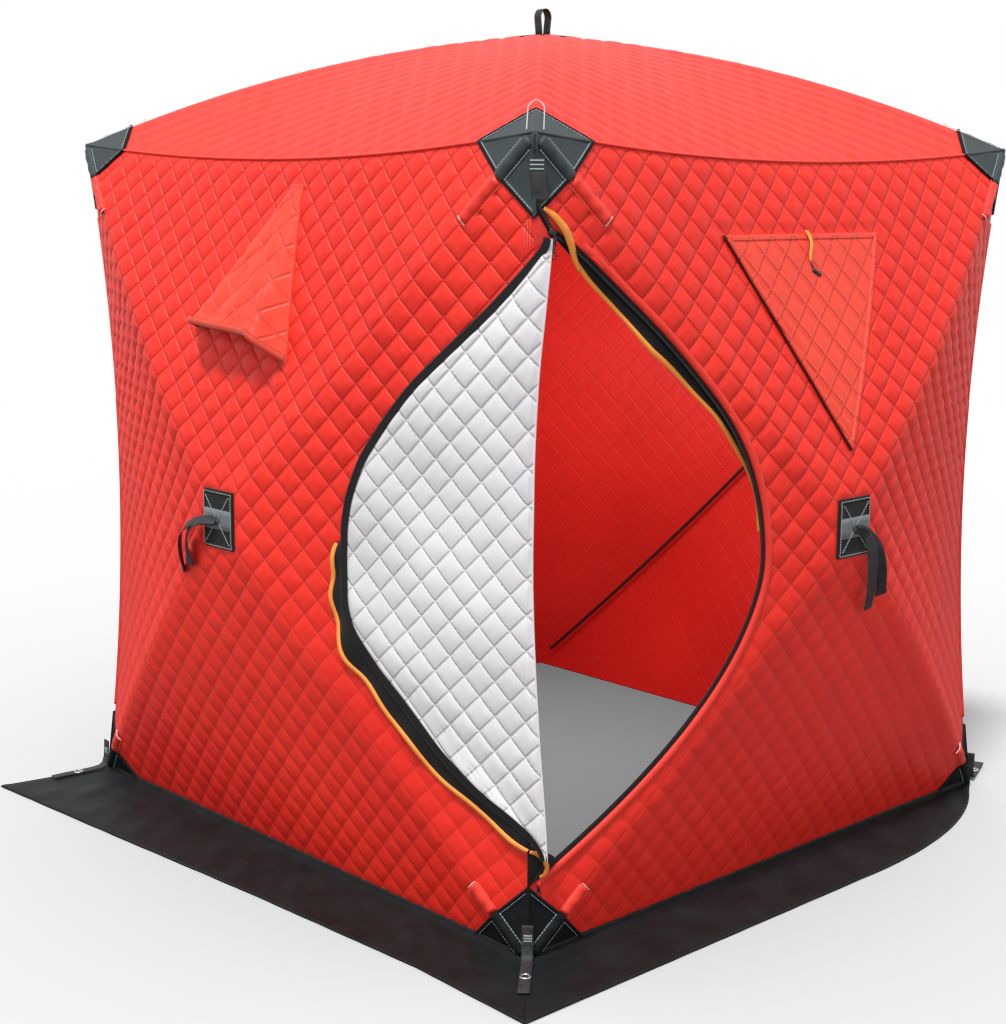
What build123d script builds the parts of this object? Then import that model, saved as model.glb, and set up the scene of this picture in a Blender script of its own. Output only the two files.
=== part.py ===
# Ice fishing hut: a pop-up shelter of quilted fabric held out by five hubs, each with four bent poles.
# Millimetres, +Z up. The origin is the middle of the base, on the ground.
# The front wall faces -Y and the right wall, which has the doorway, faces +X.
import math
import os

from build123d import *

os.makedirs("parts", exist_ok=True)

# Size of the pitched hut
half_side = 875.0  # centre to the outer face of a wall, at its corners
corner_height = 1772.0
roof_hub_height = 2058.0
hub_reach = 1062.0  # centre to the outer face of a wall at its hub
hub_height = 882.0
hub_half = 72.0  # half of the flat square of fabric over each hub

# How far the pulled fabric bows between the poles
corner_tuck = 62.0
seam_sag = 45.0
seam_tuck = 22.0
wall_pole_bow = 30.0
roof_pole_bow = 48.0

# Fabric
quilt = 6.0
seam_gap = 0.4
cap_leg = 190.0  # reinforced corner, along the seam
cap_drop = 172.0  # reinforced corner, down the corner

# Poles and hubs
pole_radius = 5.5
pole_inset = 22.0  # pole line to the inner face at a corner
pole_stop = 62.0  # pole tip to the point where the poles would meet
socket_radius = 9.0
socket_start = 34.0
socket_end = 66.0
hub_radius = 42.0
hub_depth = 24.0
hub_gap = 0.3

# Doorway and its flap, which folds round the front right corner
doorway_width = 632.0
doorway_middle = 885.0
doorway_half_height = 718.0
doorway_trim_start = 8.0  # corner to the ends of the doorway's tape and flap
flap_width = 590.0
flap_middle = 887.0
flap_half_height = 690.0
seam_stand_off = 6.5  # fold line to the outer faces of both walls
fold_web = 4.0
flap_start = 6.0
tape_width = 10.0
tape_thickness = 2.4
storm_width = 42.0
storm_drop = 55.0  # how far the doorway's storm flap hangs at the top
storm_base = 12.0  # sewn edge of the doorway's storm flap, behind the wall
storm_clear = 5.0  # closed door flap to the doorway's storm flap
storm_narrow = 16.0
piping_width = 6.0
piping_thickness = 3.0
edge_slant = 1.15  # height gained for each millimetre that a lens grows
slider_width = 8.0
slider_length = 18.0
slider_depth = 3.5
slider_place = 26.0  # corner to the middle of a zip slider
pull_length = 34.0
pull_width = 4.5

# Windows and the vent hood, as seen from outside the wall
window_left = -322.0
window_right = 248.0
window_top = 1560.0
window_tip = 11.0
window_bottom = 1060.0
vent_top = 1600.0
vent_bottom = 1345.0
vent_left = -150.0
vent_right = 140.0
hood_top_x = 88.0
hood_top = 1666.0
hood_top_width = 16.0
hood_left = -216.0
hood_left_height = 1326.0
hood_right = 180.0
hood_right_height = 1293.0
hood_stand = 62.0
hood_ease = 5.0  # middle of a hood's side off the wall

# Snow skirt
skirt = 2.0
skirt_width = 212.0
skirt_gap = 0.8
skirt_long_tip = 1187.0
skirt_long_end = 936.0
skirt_ease = 9.0

# Straps
patch_width = 118.0
patch_height = 138.0
patch = 1.6
strap_width = 25.0
strap = 2.0
tail_length = 205.0
tail_spread = 9.0
roof_loop_height = 78.0
tab_width = 34.0
tab_length = 83.0
tab_top = 1721.0
anchor_width = 26.0
anchor_length = 165.0
anchor_start = 6.5  # corner to the near end of an anchor strap
anchor_grommet = 88.0  # near end of the strap to the middle of the grommet
grommet_flange = 13.0
grommet_barrel = 9.5
grommet_inner = 8.0
grommet_rim = 1.5

WALLS = ("front", "right", "back", "left")
TURN = {"front": 0.0, "right": 90.0, "back": 180.0, "left": 270.0}
UP = Vector(0, 0, 1)


def world(turn, across, up, out):
    """The point of a wall that lies across, up and out from the middle of the base."""
    angle = math.radians(turn)
    right = Vector(math.cos(angle), math.sin(angle), 0)
    outward = Vector(math.sin(angle), -math.cos(angle), 0)
    return right * across + UP * up + outward * out


def tuck_at(turn, side):
    """How far the corner edge bows in: the edge at the door stays straight."""
    at_door = (turn == TURN["front"] and side > 0) or (turn == TURN["right"] and side < 0)
    return 0.0 if at_door else corner_tuck / math.sqrt(2)


def blend_middle(q0, q1, c0, c1, r0, r1, edge):
    """The middle control point of a patch between two poles."""
    hub_mid = (q0 + q1) * 0.5
    return (r0 + r1) * 0.5 + (hub_mid + edge) * 0.5 - (q0 + q1 + c0 + c1) * 0.25


def wall_skin(turn, depth, edge_gap):
    """Control points of one face of a wall, depth in from its outside."""
    inner = half_side - depth
    wide = inner - edge_gap
    top = corner_height - depth - edge_gap
    out = hub_reach - depth
    corners = [
        world(turn, -wide, 0, inner),
        world(turn, wide, 0, inner),
        world(turn, wide, top, inner),
        world(turn, -wide, top, inner),
    ]
    hub = [
        world(turn, x * hub_half, hub_height + z * hub_half, out)
        for x, z in ((-1, -1), (1, -1), (1, 1), (-1, 1))
    ]
    right_tuck = 2 * tuck_at(turn, 1)
    left_tuck = 2 * tuck_at(turn, -1)
    edges = [
        world(turn, 0, 0, inner),
        world(turn, wide - right_tuck, top / 2, inner - right_tuck),
        world(turn, 0, top - 2 * seam_sag, inner - 2 * seam_tuck),
        world(turn, -wide + left_tuck, top / 2, inner - left_tuck),
    ]
    bows = [wall_pole_bow if tuck_at(turn, x) else 0.0 for x in (-1, 1, 1, -1)]
    outward = world(turn, 0, 0, 1)
    ridges = [(h + c) * 0.5 + outward * (2 * b) for h, c, b in zip(hub, corners, bows)]
    return corners, hub, edges, ridges


def roof_skin(depth, edge_gap):
    """Control points of one face of the roof, depth in from its outside."""
    wide = half_side - depth - edge_gap
    low = corner_height - depth
    high = roof_hub_height - depth
    signs = ((-1, -1), (1, -1), (1, 1), (-1, 1))
    corners = [Vector(x * wide, y * wide, low) for x, y in signs]
    hub = [Vector(x * hub_half, y * hub_half, high) for x, y in signs]
    pull = wide - 2 * seam_tuck
    edges = [
        Vector(0, -pull, low - 2 * seam_sag),
        Vector(pull, 0, low - 2 * seam_sag),
        Vector(0, pull, low - 2 * seam_sag),
        Vector(-pull, 0, low - 2 * seam_sag),
    ]
    ridges = [(h + c) * 0.5 + UP * (2 * roof_pole_bow) for h, c in zip(hub, corners)]
    return corners, hub, edges, ridges


def facet(skin, i):
    """The curved face between pole i and the next one."""
    corners, hub, edges, ridges = skin
    j = (i + 1) % 4
    middle = blend_middle(hub[i], hub[j], corners[i], corners[j], ridges[i], ridges[j], edges[i])
    return Face.make_bezier_surface(
        [
            [hub[i], (hub[i] + hub[j]) * 0.5, hub[j]],
            [ridges[i], middle, ridges[j]],
            [corners[i], edges[i], corners[j]],
        ]
    )


def strip(outer, inner):
    """The narrow face between an edge of the outside and the same edge of the inside."""
    return Face.make_bezier_surface([outer, inner])


def fabric_panel(outer, inner, facets):
    """A closed sheet of fabric over some of the four facets; all four take in the hub square."""
    with_hub = len(facets) > 1
    faces = []
    for skin in (outer, inner):
        corners, hub, edges, ridges = skin
        faces += [facet(skin, i) for i in facets]
        if with_hub:
            faces.append(Face.make_bezier_surface([[hub[0], hub[1]], [hub[3], hub[2]]]))
    oc, oh, oe, orr = outer
    ic, ih, ie, ir = inner
    for i in range(4):
        j = (i + 1) % 4
        before = (i - 1) % 4
        if i in facets:
            faces.append(strip([oc[i], oe[i], oc[j]], [ic[i], ie[i], ic[j]]))
        if (i in facets) != (before in facets):
            faces.append(strip([oh[i], orr[i], oc[i]], [ih[i], ir[i], ic[i]]))
        if (i in facets) != with_hub:
            mid_outer = (oh[i] + oh[j]) * 0.5
            mid_inner = (ih[i] + ih[j]) * 0.5
            faces.append(strip([oh[i], mid_outer, oh[j]], [ih[i], mid_inner, ih[j]]))
    solid = Solid(Shell(faces))
    return solid if solid.volume > 0 else Solid(Shell([-f for f in faces]))


def wall_panel(turn, facets=(0, 1, 2, 3)):
    return fabric_panel(wall_skin(turn, 0.0, seam_gap), wall_skin(turn, quilt, seam_gap), facets)


def prism(turn, outline):
    """A block through a wall, from an outline of across and up."""
    far = world(turn, 0, 0, hub_reach + hub_half)
    plane = Plane(origin=far, x_dir=world(turn, 1, 0, 0), z_dir=world(turn, 0, 0, 1))
    return extrude(plane * make_face(Polyline(*outline, close=True)), -(hub_reach - half_side) * 2.5)


def window_outline(gap=0.0):
    """The window's triangle, smaller all round by a gap."""
    return shrunk([(window_left, window_top), (window_tip, window_bottom), (window_right, window_top)], gap)


def vent_outline(gap=0.0):
    """The vent's triangle under its hood, smaller all round by a gap."""
    top = (hood_top_x, vent_top)
    return shrunk([top, (vent_left, vent_bottom), (vent_right, vent_bottom)], gap)


def shrunk(points, gap):
    """A triangle with each side moved in by the gap."""
    lengths = [math.dist(points[(i + 1) % 3], points[(i + 2) % 3]) for i in range(3)]
    total = sum(lengths)
    centre = [sum(lengths[i] * points[i][k] for i in range(3)) / total for k in (0, 1)]
    (ax, ay), (bx, by), (cx, cy) = points
    area = abs((bx - ax) * (cy - ay) - (cx - ax) * (by - ay)) / 2
    share = 1 - gap / (2 * area / total)
    return [tuple(centre[k] + (p[k] - centre[k]) * share for k in (0, 1)) for p in points]


def corner_block(sx, sy, top, shift):
    """The block that takes in one corner, moved out by a shift."""
    normal = Vector(sx / cap_leg, sy / cap_leg, (1 if top else -1) / cap_drop).normalized()
    tip = Vector(sx * half_side, sy * half_side, corner_height if top else 0.0)
    start = tip - UP * (cap_drop if top else -cap_drop)
    plane = Plane(origin=start + normal * shift, z_dir=normal)
    reach = 4 * cap_leg
    return plane * Box(reach, reach, reach, align=(Align.CENTER, Align.CENTER, Align.MIN))


def solids_of(shape):
    """The solids of a result, whatever kind it is, without the crumbs of a cut."""
    if shape is None:
        return []
    found = shape.solids() if hasattr(shape, "solids") else ShapeList(shape)
    return [s for s in found if s.volume > 1.0]


def without(shape, blocks):
    """What is left of a shape outside the blocks, as one compound."""
    left = solids_of(shape)
    for block in blocks:
        left = [piece for solid in left for piece in solids_of(solid - block)]
    return left


def inside(shape, block):
    return [piece for solid in solids_of(shape) for piece in solids_of(solid & block)]


nodes = {}


def keep(name, *shapes):
    """Collects the solids of a node."""
    nodes.setdefault(name, []).extend(solid for shape in shapes for solid in solids_of(shape))


# Fabric walls and roof
front_wall = wall_panel(TURN["front"]) - prism(TURN["front"], vent_outline())
right_wall = wall_panel(TURN["right"], (0, 1, 2)) - prism(TURN["right"], window_outline())
back_wall = wall_panel(TURN["back"]) - prism(TURN["back"], vent_outline())
left_wall = wall_panel(TURN["left"]) - prism(TURN["left"], window_outline())
roof = fabric_panel(roof_skin(0.0, seam_gap), roof_skin(quilt, seam_gap), (0, 1, 2, 3))

# Planes of the two facets that meet at the front right corner
slope = math.atan2(hub_reach - half_side, half_side - hub_half)
corner_line = Vector(half_side, -half_side, 0)
front_facet = Plane(
    origin=corner_line,
    x_dir=(math.cos(slope), math.sin(slope), 0),
    z_dir=(math.sin(slope), -math.cos(slope), 0),
)
right_facet = Plane(
    origin=corner_line,
    x_dir=(math.sin(slope), math.cos(slope), 0),
    z_dir=(math.cos(slope), -math.sin(slope), 0),
)
FOLDED = (front_facet, -1)
HUNG = (right_facet, 1)


def lens(width, middle, half_height, side, start=0.0):
    """The half lens inside a parabola that is half_height tall at the corner, cut off at start."""
    rise = half_height * math.sqrt(1 - start / width)
    low = (side * start, middle - rise)
    high = (side * start, middle + rise)
    peak = (side * (2 * width - start), middle)
    return make_face(Bezier(low, peak, high) + Line(high, low))


def slab(where, sketch, low, high):
    """A flat piece on a facet, between two distances out from its face."""
    plane, _ = where
    return extrude(plane.offset(low) * sketch, high - low)


def half_of(side, middle, upper, width):
    """A large rectangle over the upper or the lower half of the doorway."""
    tall = 2 * doorway_half_height
    offset = tall / 2 if upper else -tall / 2
    return Pos(side * width / 2, middle + offset) * Rectangle(2 * width, tall)


# The part of the right wall round the doorway
door_panel = wall_panel(TURN["right"], (3,))
doorway = slab(HUNG, lens(doorway_width, doorway_middle, doorway_half_height, 1, -2 * quilt), -60, 60)
door_panel = door_panel - doorway

# Corner reinforcements, cut from the same fabric as the walls and roof
fabric = {
    "front_wall": front_wall,
    "right_wall": right_wall,
    "right_wall_door_panel": door_panel,
    "back_wall": back_wall,
    "left_wall": left_wall,
    "roof_canopy": roof,
}
corner_names = {"front_right": (1, -1), "front_left": (-1, -1), "back_right": (1, 1), "back_left": (-1, 1)}
blocks = []
for name, (sx, sy) in corner_names.items():
    for level, top in (("top", True), ("bottom", False)):
        block = corner_block(sx, sy, top, seam_gap)
        for piece in fabric.values():
            keep(f"{name}_{level}_cap", *inside(piece, block))
        blocks.append(corner_block(sx, sy, top, 0.0))
for name, piece in fabric.items():
    keep(name, *without(piece, blocks))

# Window covers and vent covers, in the plane of the fabric
for name, outline in (("front", vent_outline), ("right", window_outline), ("back", vent_outline),
                      ("left", window_outline)):
    kind = "vent_screen" if outline is vent_outline else "window_cover"
    cover = prism(TURN[name], outline(seam_gap))
    keep(f"{name}_{kind}", *inside(wall_panel(TURN[name]), cover))


def surface_out(wall, turn, across, up):
    """How far out the outer face of a wall is at a place."""
    start = world(turn, across, up, hub_reach + hub_half)
    hits = wall.find_intersection_points(Axis(start, world(turn, 0, 0, -1)))
    return max(p.dot(world(turn, 0, 0, 1)) for p, _ in hits)


# Vent hoods, open at the bottom
for name in ("front", "back"):
    turn = TURN[name]
    whole = wall_panel(turn)

    def hood_point(across, up, stand):
        return world(turn, across, up, surface_out(whole, turn, across, up) + stand)

    def control_through(start, end, stand):
        middle = (start + end) * 0.5
        across = middle.dot(world(turn, 1, 0, 0))
        return hood_point(across, middle.Z, stand + hood_ease) * 2 - middle

    top_left = (hood_top_x - hood_top_width, hood_top)
    top_right = (hood_top_x + hood_top_width, hood_top)
    low_left = (hood_left, hood_left_height)
    low_right = (hood_right, hood_right_height)
    shells = []
    for stand in (seam_gap + quilt, seam_gap):
        inset = seam_gap + quilt - stand
        tl = hood_point(top_left[0] + inset, top_left[1] - inset, stand)
        tr = hood_point(top_right[0] - inset, top_right[1] - inset, stand)
        ll = hood_point(low_left[0] + inset, low_left[1], seam_gap)
        lr = hood_point(low_right[0] - inset, low_right[1], seam_gap)
        low_mid = (ll + lr) * 0.5 + world(turn, 0, 0, 2 * (hood_stand - inset))
        left_mid = control_through(tl, ll, stand)
        right_mid = control_through(tr, lr, stand)
        centre = blend_middle(tl, tr, ll, lr, left_mid, right_mid, low_mid)
        shells.append([[tl, (tl + tr) * 0.5, tr], [left_mid, centre, right_mid], [ll, low_mid, lr]])
    over, under = shells
    sides = [
        strip(over[0], under[0]),
        strip(over[2], under[2]),
        strip([row[0] for row in over], [row[0] for row in under]),
        strip([row[2] for row in over], [row[2] for row in under]),
    ]
    hood = Solid(Shell([Face.make_bezier_surface(over), Face.make_bezier_surface(under), *sides]))
    keep(f"{name}_vent_hood", hood)


# Hubs and poles
def pole_set(centre, outward, bows, tips):
    """A hub with four sockets, and the four poles that leave it."""
    hub_plane = Plane(origin=centre - outward * (hub_depth / 2), z_dir=outward)
    body = hub_plane * Cylinder(hub_radius, hub_depth, align=(Align.CENTER, Align.CENTER, Align.MIN))
    poles = []
    for bow, tip in zip(bows, tips):
        along = (tip - centre).normalized()
        start = centre + along * socket_end
        end = tip - along * pole_stop
        middle = (start + end) * 0.5 + outward * bow
        path = ThreePointArc(start, middle, end) if bow else Line(start, end)
        lead = (path % 0).normalized()
        poles.append(sweep(Plane(origin=start, z_dir=lead) * Circle(pole_radius), path))
        socket_plane = Plane(origin=start - lead * (socket_end - socket_start), z_dir=lead)
        socket = socket_plane * Cylinder(
            socket_radius, socket_end - socket_start, align=(Align.CENTER, Align.CENTER, Align.MIN)
        )
        body = body + socket
    return body, poles


hub_back = quilt + hub_gap + hub_depth / 2
tip_in = half_side - quilt - pole_inset
for name in WALLS:
    turn = TURN[name]
    centre = world(turn, 0, hub_height, hub_reach - hub_back)
    top = corner_height - quilt - pole_inset
    tips = [
        world(turn, -tip_in, pole_inset, tip_in),
        world(turn, tip_in, pole_inset, tip_in),
        world(turn, tip_in, top, tip_in),
        world(turn, -tip_in, top, tip_in),
    ]
    bows = [wall_pole_bow if tuck_at(turn, x) else 0.0 for x in (-1, 1, 1, -1)]
    hub_body, poles = pole_set(centre, world(turn, 0, 0, 1), bows, tips)
    keep(f"{name}_hub", hub_body)
    keep(f"{name}_poles", *poles)
roof_centre = Vector(0, 0, roof_hub_height - hub_back)
roof_tips = [
    Vector(x * tip_in, y * tip_in, corner_height - quilt - pole_inset)
    for x, y in ((-1, -1), (1, -1), (1, 1), (-1, 1))
]
hub_body, poles = pole_set(roof_centre, UP, [roof_pole_bow] * 4, roof_tips)
keep("roof_hub", hub_body)
keep("roof_poles", *poles)

# Door flap, folded round the corner and lying on the front wall
def grown(width, middle, half_height, side, start, grow):
    """A lens with its curved edge moved out by grow."""
    return lens(width + grow, middle, half_height + edge_slant * grow, side, start)


def door_lens(grow):
    return grown(flap_width, flap_middle, flap_half_height, -1, flap_start, grow)


def doorway_lens(grow):
    return grown(doorway_width, doorway_middle, doorway_half_height, 1, doorway_trim_start, grow)


rest_low = 2 * seam_stand_off
rest_high = rest_low + quilt
flap = slab(FOLDED, door_lens(-tape_width), rest_low, rest_high)
fold_out = seam_stand_off / (math.sin(slope) + math.cos(slope))
fold_radius = fold_out * math.sqrt(2) - seam_gap
fold_axis = corner_line + Vector(fold_out, -fold_out, 0)
fold_length = 2 * (flap_half_height - 2 * tape_width)
fold_low = flap_middle - fold_length / 2
fold_plane = Plane(origin=fold_axis + UP * fold_low, z_dir=UP)
fold = fold_plane * Cylinder(fold_radius, fold_length, align=(Align.CENTER, Align.CENTER, Align.MIN))
web_end = front_facet.from_local_coords((-flap_start - fold_web / 2, 0, rest_low + fold_web / 2))
web_along = Vector(web_end.X - fold_axis.X, web_end.Y - fold_axis.Y, 0)
web_plane = Plane(origin=fold_axis + UP * fold_low, x_dir=web_along.normalized(), z_dir=UP)
web = web_plane * Box(web_along.length, fold_web, fold_length, align=(Align.MIN, Align.CENTER, Align.MIN))
keep("door_flap", flap + fold + web)

# Zip tape of the door flap, and the storm flap with its piping, which swing in the plane of the fold line
tape_low = (rest_low + rest_high - tape_thickness) / 2
keep("door_zip_tape", slab(FOLDED, door_lens(0) - door_lens(seam_gap - tape_width), tape_low, tape_low + tape_thickness))
below = half_of(-1, flap_middle, False, flap_width + 2 * storm_width)
storm_low = seam_stand_off - tape_thickness / 2
storm_edge = storm_width - piping_width - seam_gap
storm = (door_lens(storm_edge) - door_lens(-tape_width / 2)) & below
sewn = (door_lens(0) - door_lens(-tape_width / 2)) & below
keep(
    "door_storm_flap",
    slab(FOLDED, storm, storm_low, storm_low + tape_thickness) + slab(FOLDED, sewn, storm_low, tape_low - seam_gap),
)
edge = (door_lens(storm_width) - door_lens(storm_edge + seam_gap)) & below
piping_low = seam_stand_off - piping_thickness / 2
keep("door_storm_piping", slab(FOLDED, edge, piping_low, piping_low + piping_thickness))

# Zip tape of the doorway
hung_low = -(quilt + tape_thickness) / 2
hung_high = hung_low + tape_thickness
keep("doorway_zip_tape", slab(HUNG, doorway_lens(-seam_gap) - doorway_lens(-tape_width), hung_low, hung_high))


# Storm flap of the doorway, sewn behind the wall and hanging behind the closed door flap
def hanging_lens(grow):
    """The doorway's lens lowered by the drop of its storm flap."""
    middle = doorway_middle - storm_drop
    return grown(doorway_width, middle, doorway_half_height, 1, doorway_trim_start, grow)


above = half_of(1, doorway_middle, True, doorway_width + 2 * storm_base)
wall_back = -(quilt + seam_gap) * (math.cos(slope) + math.sin(slope))
storm_face = -quilt - storm_clear
storm_back = storm_face - tape_thickness
sewn = (doorway_lens(storm_base) - doorway_lens(seam_gap)) & above
storm = (doorway_lens(storm_base) - hanging_lens(-storm_narrow)) & above
keep(
    "doorway_storm_flap",
    slab(HUNG, sewn, storm_back, wall_back) + slab(HUNG, storm, storm_back, storm_face),
)
edge = (hanging_lens(-storm_narrow - seam_gap) - hanging_lens(-storm_narrow - piping_width)) & above
keep("doorway_storm_piping", slab(HUNG, edge, storm_face - piping_thickness, storm_face))

# Zip sliders at both ends of the doorway's tape, each with its pull along the tape
share = math.sqrt(1 - slider_place / doorway_width)
rise = doorway_half_height * share - edge_slant * (tape_width + seam_gap) / 2
turn_down = math.degrees(math.atan2(doorway_half_height, 2 * doorway_width * share))
for way, low in ((1, hung_high + seam_gap), (-1, hung_low - seam_gap - slider_depth)):
    spot = Pos(slider_place, doorway_middle + way * rise) * Rot(0, 0, -way * turn_down)
    pull = spot * Pos(pull_length / 2, 0) * Rectangle(pull_length, pull_width)
    body = spot * Rectangle(slider_length, slider_width)
    keep("zip_sliders", slab(HUNG, body, low, low + slider_depth) + slab(HUNG, pull, low, low + slider_depth / 2))

# Snow skirt, flat on the ground
base = half_side + skirt_gap
outer = half_side + skirt_width


def ground(points):
    return extrude(make_face(Polyline(*points, close=True)), skirt)


front_skirt = [
    (base, -base),
    (-base, -base),
    (-skirt_long_end, -outer - 60),
    (-skirt_long_end, -skirt_long_tip),
    (-390, -outer - 62),
    (170, -outer - 21),
    (outer, -outer),
]
keep("front_skirt", ground(front_skirt))
half_gap = seam_gap / 2
right_outline = make_face(
    Line((base, -base + half_gap), (outer, -outer + half_gap))
    + Line((outer, -outer + half_gap), (outer + skirt_ease, 150))
    + Bezier((outer + skirt_ease, 150), (outer, 560), (half_side + 50, 800))
    + Line((half_side + 50, 800), (base, base - half_gap))
    + Line((base, base - half_gap), (base, -base + half_gap))
)
keep("right_skirt", extrude(right_outline, skirt))
back_outline = make_face(
    Line((base, base), (base - 30, base + 55))
    + Bezier((base - 30, base + 55), (500, outer), (150, outer))
    + Line((150, outer), (-outer + half_gap, skirt_long_tip))
    + Line((-outer + half_gap, skirt_long_tip), (-base, base))
    + Line((-base, base), (base, base))
)
keep("back_skirt", extrude(back_outline, skirt))
left_outline = make_face(
    Line((-base, base - half_gap), (-outer, outer - half_gap))
    + Line((-outer, outer - half_gap), (-outer - skirt_ease, -300))
    + Bezier((-outer - skirt_ease, -300), (-outer, -600), (-base - 90, -830))
    + Line((-base - 90, -830), (-base, -base + half_gap))
    + Line((-base, -base + half_gap), (-base, base - half_gap))
)
keep("left_skirt", extrude(left_outline, skirt))


# Hub patches and pull straps
def plate(turn, across, up, out, width, height, thick):
    """A flat upright plate on a wall, from its outer face out."""
    plane = Plane(
        origin=world(turn, across, up, out), x_dir=world(turn, 1, 0, 0), z_dir=world(turn, 0, 0, 1)
    )
    return plane * Box(width, height, thick, align=(Align.CENTER, Align.CENTER, Align.MIN))


for name in WALLS:
    turn = TURN[name]
    keep("hub_patches", plate(turn, 0, hub_height, hub_reach, patch_width, patch_height, patch))
    face = hub_reach + patch
    for side in (-1, 1):
        plane = Plane(
            origin=world(turn, side * (strap_width / 2 + 1.5), hub_height, face),
            x_dir=world(turn, math.cos(math.radians(side * tail_spread)),
                        math.sin(math.radians(side * tail_spread)), 0),
            z_dir=world(turn, 0, 0, 1),
        )
        keep(
            "hub_pull_straps",
            plane * Box(strap_width, tail_length, strap, align=(Align.CENTER, Align.MAX, Align.MIN)),
        )
loop = Plane(origin=(0, 0, roof_hub_height), x_dir=(1, 0, 0), z_dir=(0, 0, 1))
keep("hub_patches", loop * Box(patch_height, patch_height, patch, align=(Align.CENTER, Align.CENTER, Align.MIN)))
loop_base = roof_hub_height + patch
ring = Plane(origin=(-strap_width / 2, 0, loop_base), x_dir=(0, 1, 0), z_dir=(1, 0, 0))
loop_outline = Pos(0, roof_loop_height / 2) * (
    RectangleRounded(40, roof_loop_height, 19) - RectangleRounded(40 - 2 * strap, roof_loop_height - 2 * strap, 17)
)
keep("roof_strap_loop", extrude(ring * loop_outline, strap_width))

# Webbing tab on the front right corner, under the tip of the roof
outward = Vector(1, -1, 0).normalized()
tab_plane = Plane(origin=corner_line + outward * seam_gap + UP * tab_top, x_dir=(1, 1, 0), z_dir=outward)
keep("top_corner_tab", tab_plane * Box(tab_width, tab_length, strap, align=(Align.CENTER, Align.MAX, Align.MIN)))

# Anchor strap with its grommet, on the skirt at each corner
anchor_way = {"front_right": (1, -1), "front_left": (-0.1, -1), "back_right": (-0.4, 1), "back_left": (-0.1, 1)}
for name, (sx, sy) in corner_names.items():
    along = Vector(*anchor_way[name], 0).normalized()
    start = Vector(sx * base, sy * base, skirt + seam_gap) + along * anchor_start
    lying = Plane(origin=start, x_dir=along, z_dir=UP)
    eye = lying * Pos(anchor_grommet, 0, 0)
    webbing = lying * Box(anchor_length, anchor_width, strap, align=(Align.MIN, Align.CENTER, Align.MIN))
    upright = (Align.CENTER, Align.CENTER, Align.MIN)
    keep("anchor_straps", webbing - eye * Cylinder(grommet_barrel + seam_gap, strap, align=upright))
    barrel = Cylinder(grommet_barrel, strap + seam_gap, align=upright)
    flange = Pos(0, 0, strap + seam_gap) * Cylinder(grommet_flange, grommet_rim, align=upright)
    hole = Cylinder(grommet_inner, strap + seam_gap + grommet_rim, align=upright)
    keep("anchor_grommets", eye * (barrel + flange - hole))

for name, solids in nodes.items():
    export_step(solids[0] if len(solids) == 1 else Compound(solids), f"parts/{name}.step")
    print(name, len(solids), round(sum(s.volume for s in solids) / 1000, 1))
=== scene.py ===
# Looks of the ice fishing hut: quilted cloth, caps, door, windows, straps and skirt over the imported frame.
# Metres, +Z up. The front wall faces -Y and the right wall, with the doorway, faces +X.
import math

import bpy
import numpy as np
from mathutils import Matrix, Vector

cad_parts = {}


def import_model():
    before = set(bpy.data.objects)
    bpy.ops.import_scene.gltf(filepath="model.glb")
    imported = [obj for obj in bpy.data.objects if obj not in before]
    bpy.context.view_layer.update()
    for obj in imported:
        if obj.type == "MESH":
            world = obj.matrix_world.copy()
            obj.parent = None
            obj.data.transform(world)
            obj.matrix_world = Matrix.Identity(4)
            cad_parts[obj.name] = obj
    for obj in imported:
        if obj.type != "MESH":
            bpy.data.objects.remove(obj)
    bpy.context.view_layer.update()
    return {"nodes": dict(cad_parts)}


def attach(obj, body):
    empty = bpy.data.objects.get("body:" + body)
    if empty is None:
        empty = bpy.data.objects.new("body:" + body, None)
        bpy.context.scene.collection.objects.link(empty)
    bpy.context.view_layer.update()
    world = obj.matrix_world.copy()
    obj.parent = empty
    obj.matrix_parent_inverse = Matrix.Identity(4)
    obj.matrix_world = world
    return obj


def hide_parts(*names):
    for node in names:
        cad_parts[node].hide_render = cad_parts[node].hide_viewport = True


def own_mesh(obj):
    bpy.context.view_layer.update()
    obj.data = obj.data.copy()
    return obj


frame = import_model()

# Size of the pitched hut
HALF_SIDE = 0.875
CORNER_HEIGHT = 1.772
ROOF_HUB_HEIGHT = 2.058
HUB_REACH = 1.062
HUB_HEIGHT = 0.882
HUB_HALF = 0.072
CORNER_TUCK = 0.062
SEAM_SAG = 0.045
SEAM_TUCK = 0.022
WALL_BOW = 0.030
ROOF_BOW = 0.048
QUILT = 0.006
FLAT = 0.885  # half the side of a wall's cloth, laid flat

# Quilting
DIAMOND = 0.055
PUFF = 0.0062
STITCH_DEPTH = 0.0022

# Doorway and flap, along the wall from the front right corner and up
DOOR_WIDTH = 0.632
DOOR_MIDDLE = 0.885
DOOR_HALF = 0.718
FLAP_TOP = 1.562
FLAP_BOTTOM = 0.243

TURN = {"front": 0, "right": 90, "back": 180, "left": 270}


def unit(v):
    return v / np.linalg.norm(v, axis=-1, keepdims=True)


# The curved faces of the cloth, as quadratic patches between the poles
def world(turn, across, up, out):
    a = math.radians(turn)
    right = np.array([math.cos(a), math.sin(a), 0.0])
    outward = np.array([math.sin(a), -math.cos(a), 0.0])
    return right * across + outward * out + np.array([0.0, 0.0, up])


def tuck_at(turn, side):
    at_door = (turn == 0 and side > 0) or (turn == 90 and side < 0)
    return 0.0 if at_door else CORNER_TUCK / math.sqrt(2)


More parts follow.
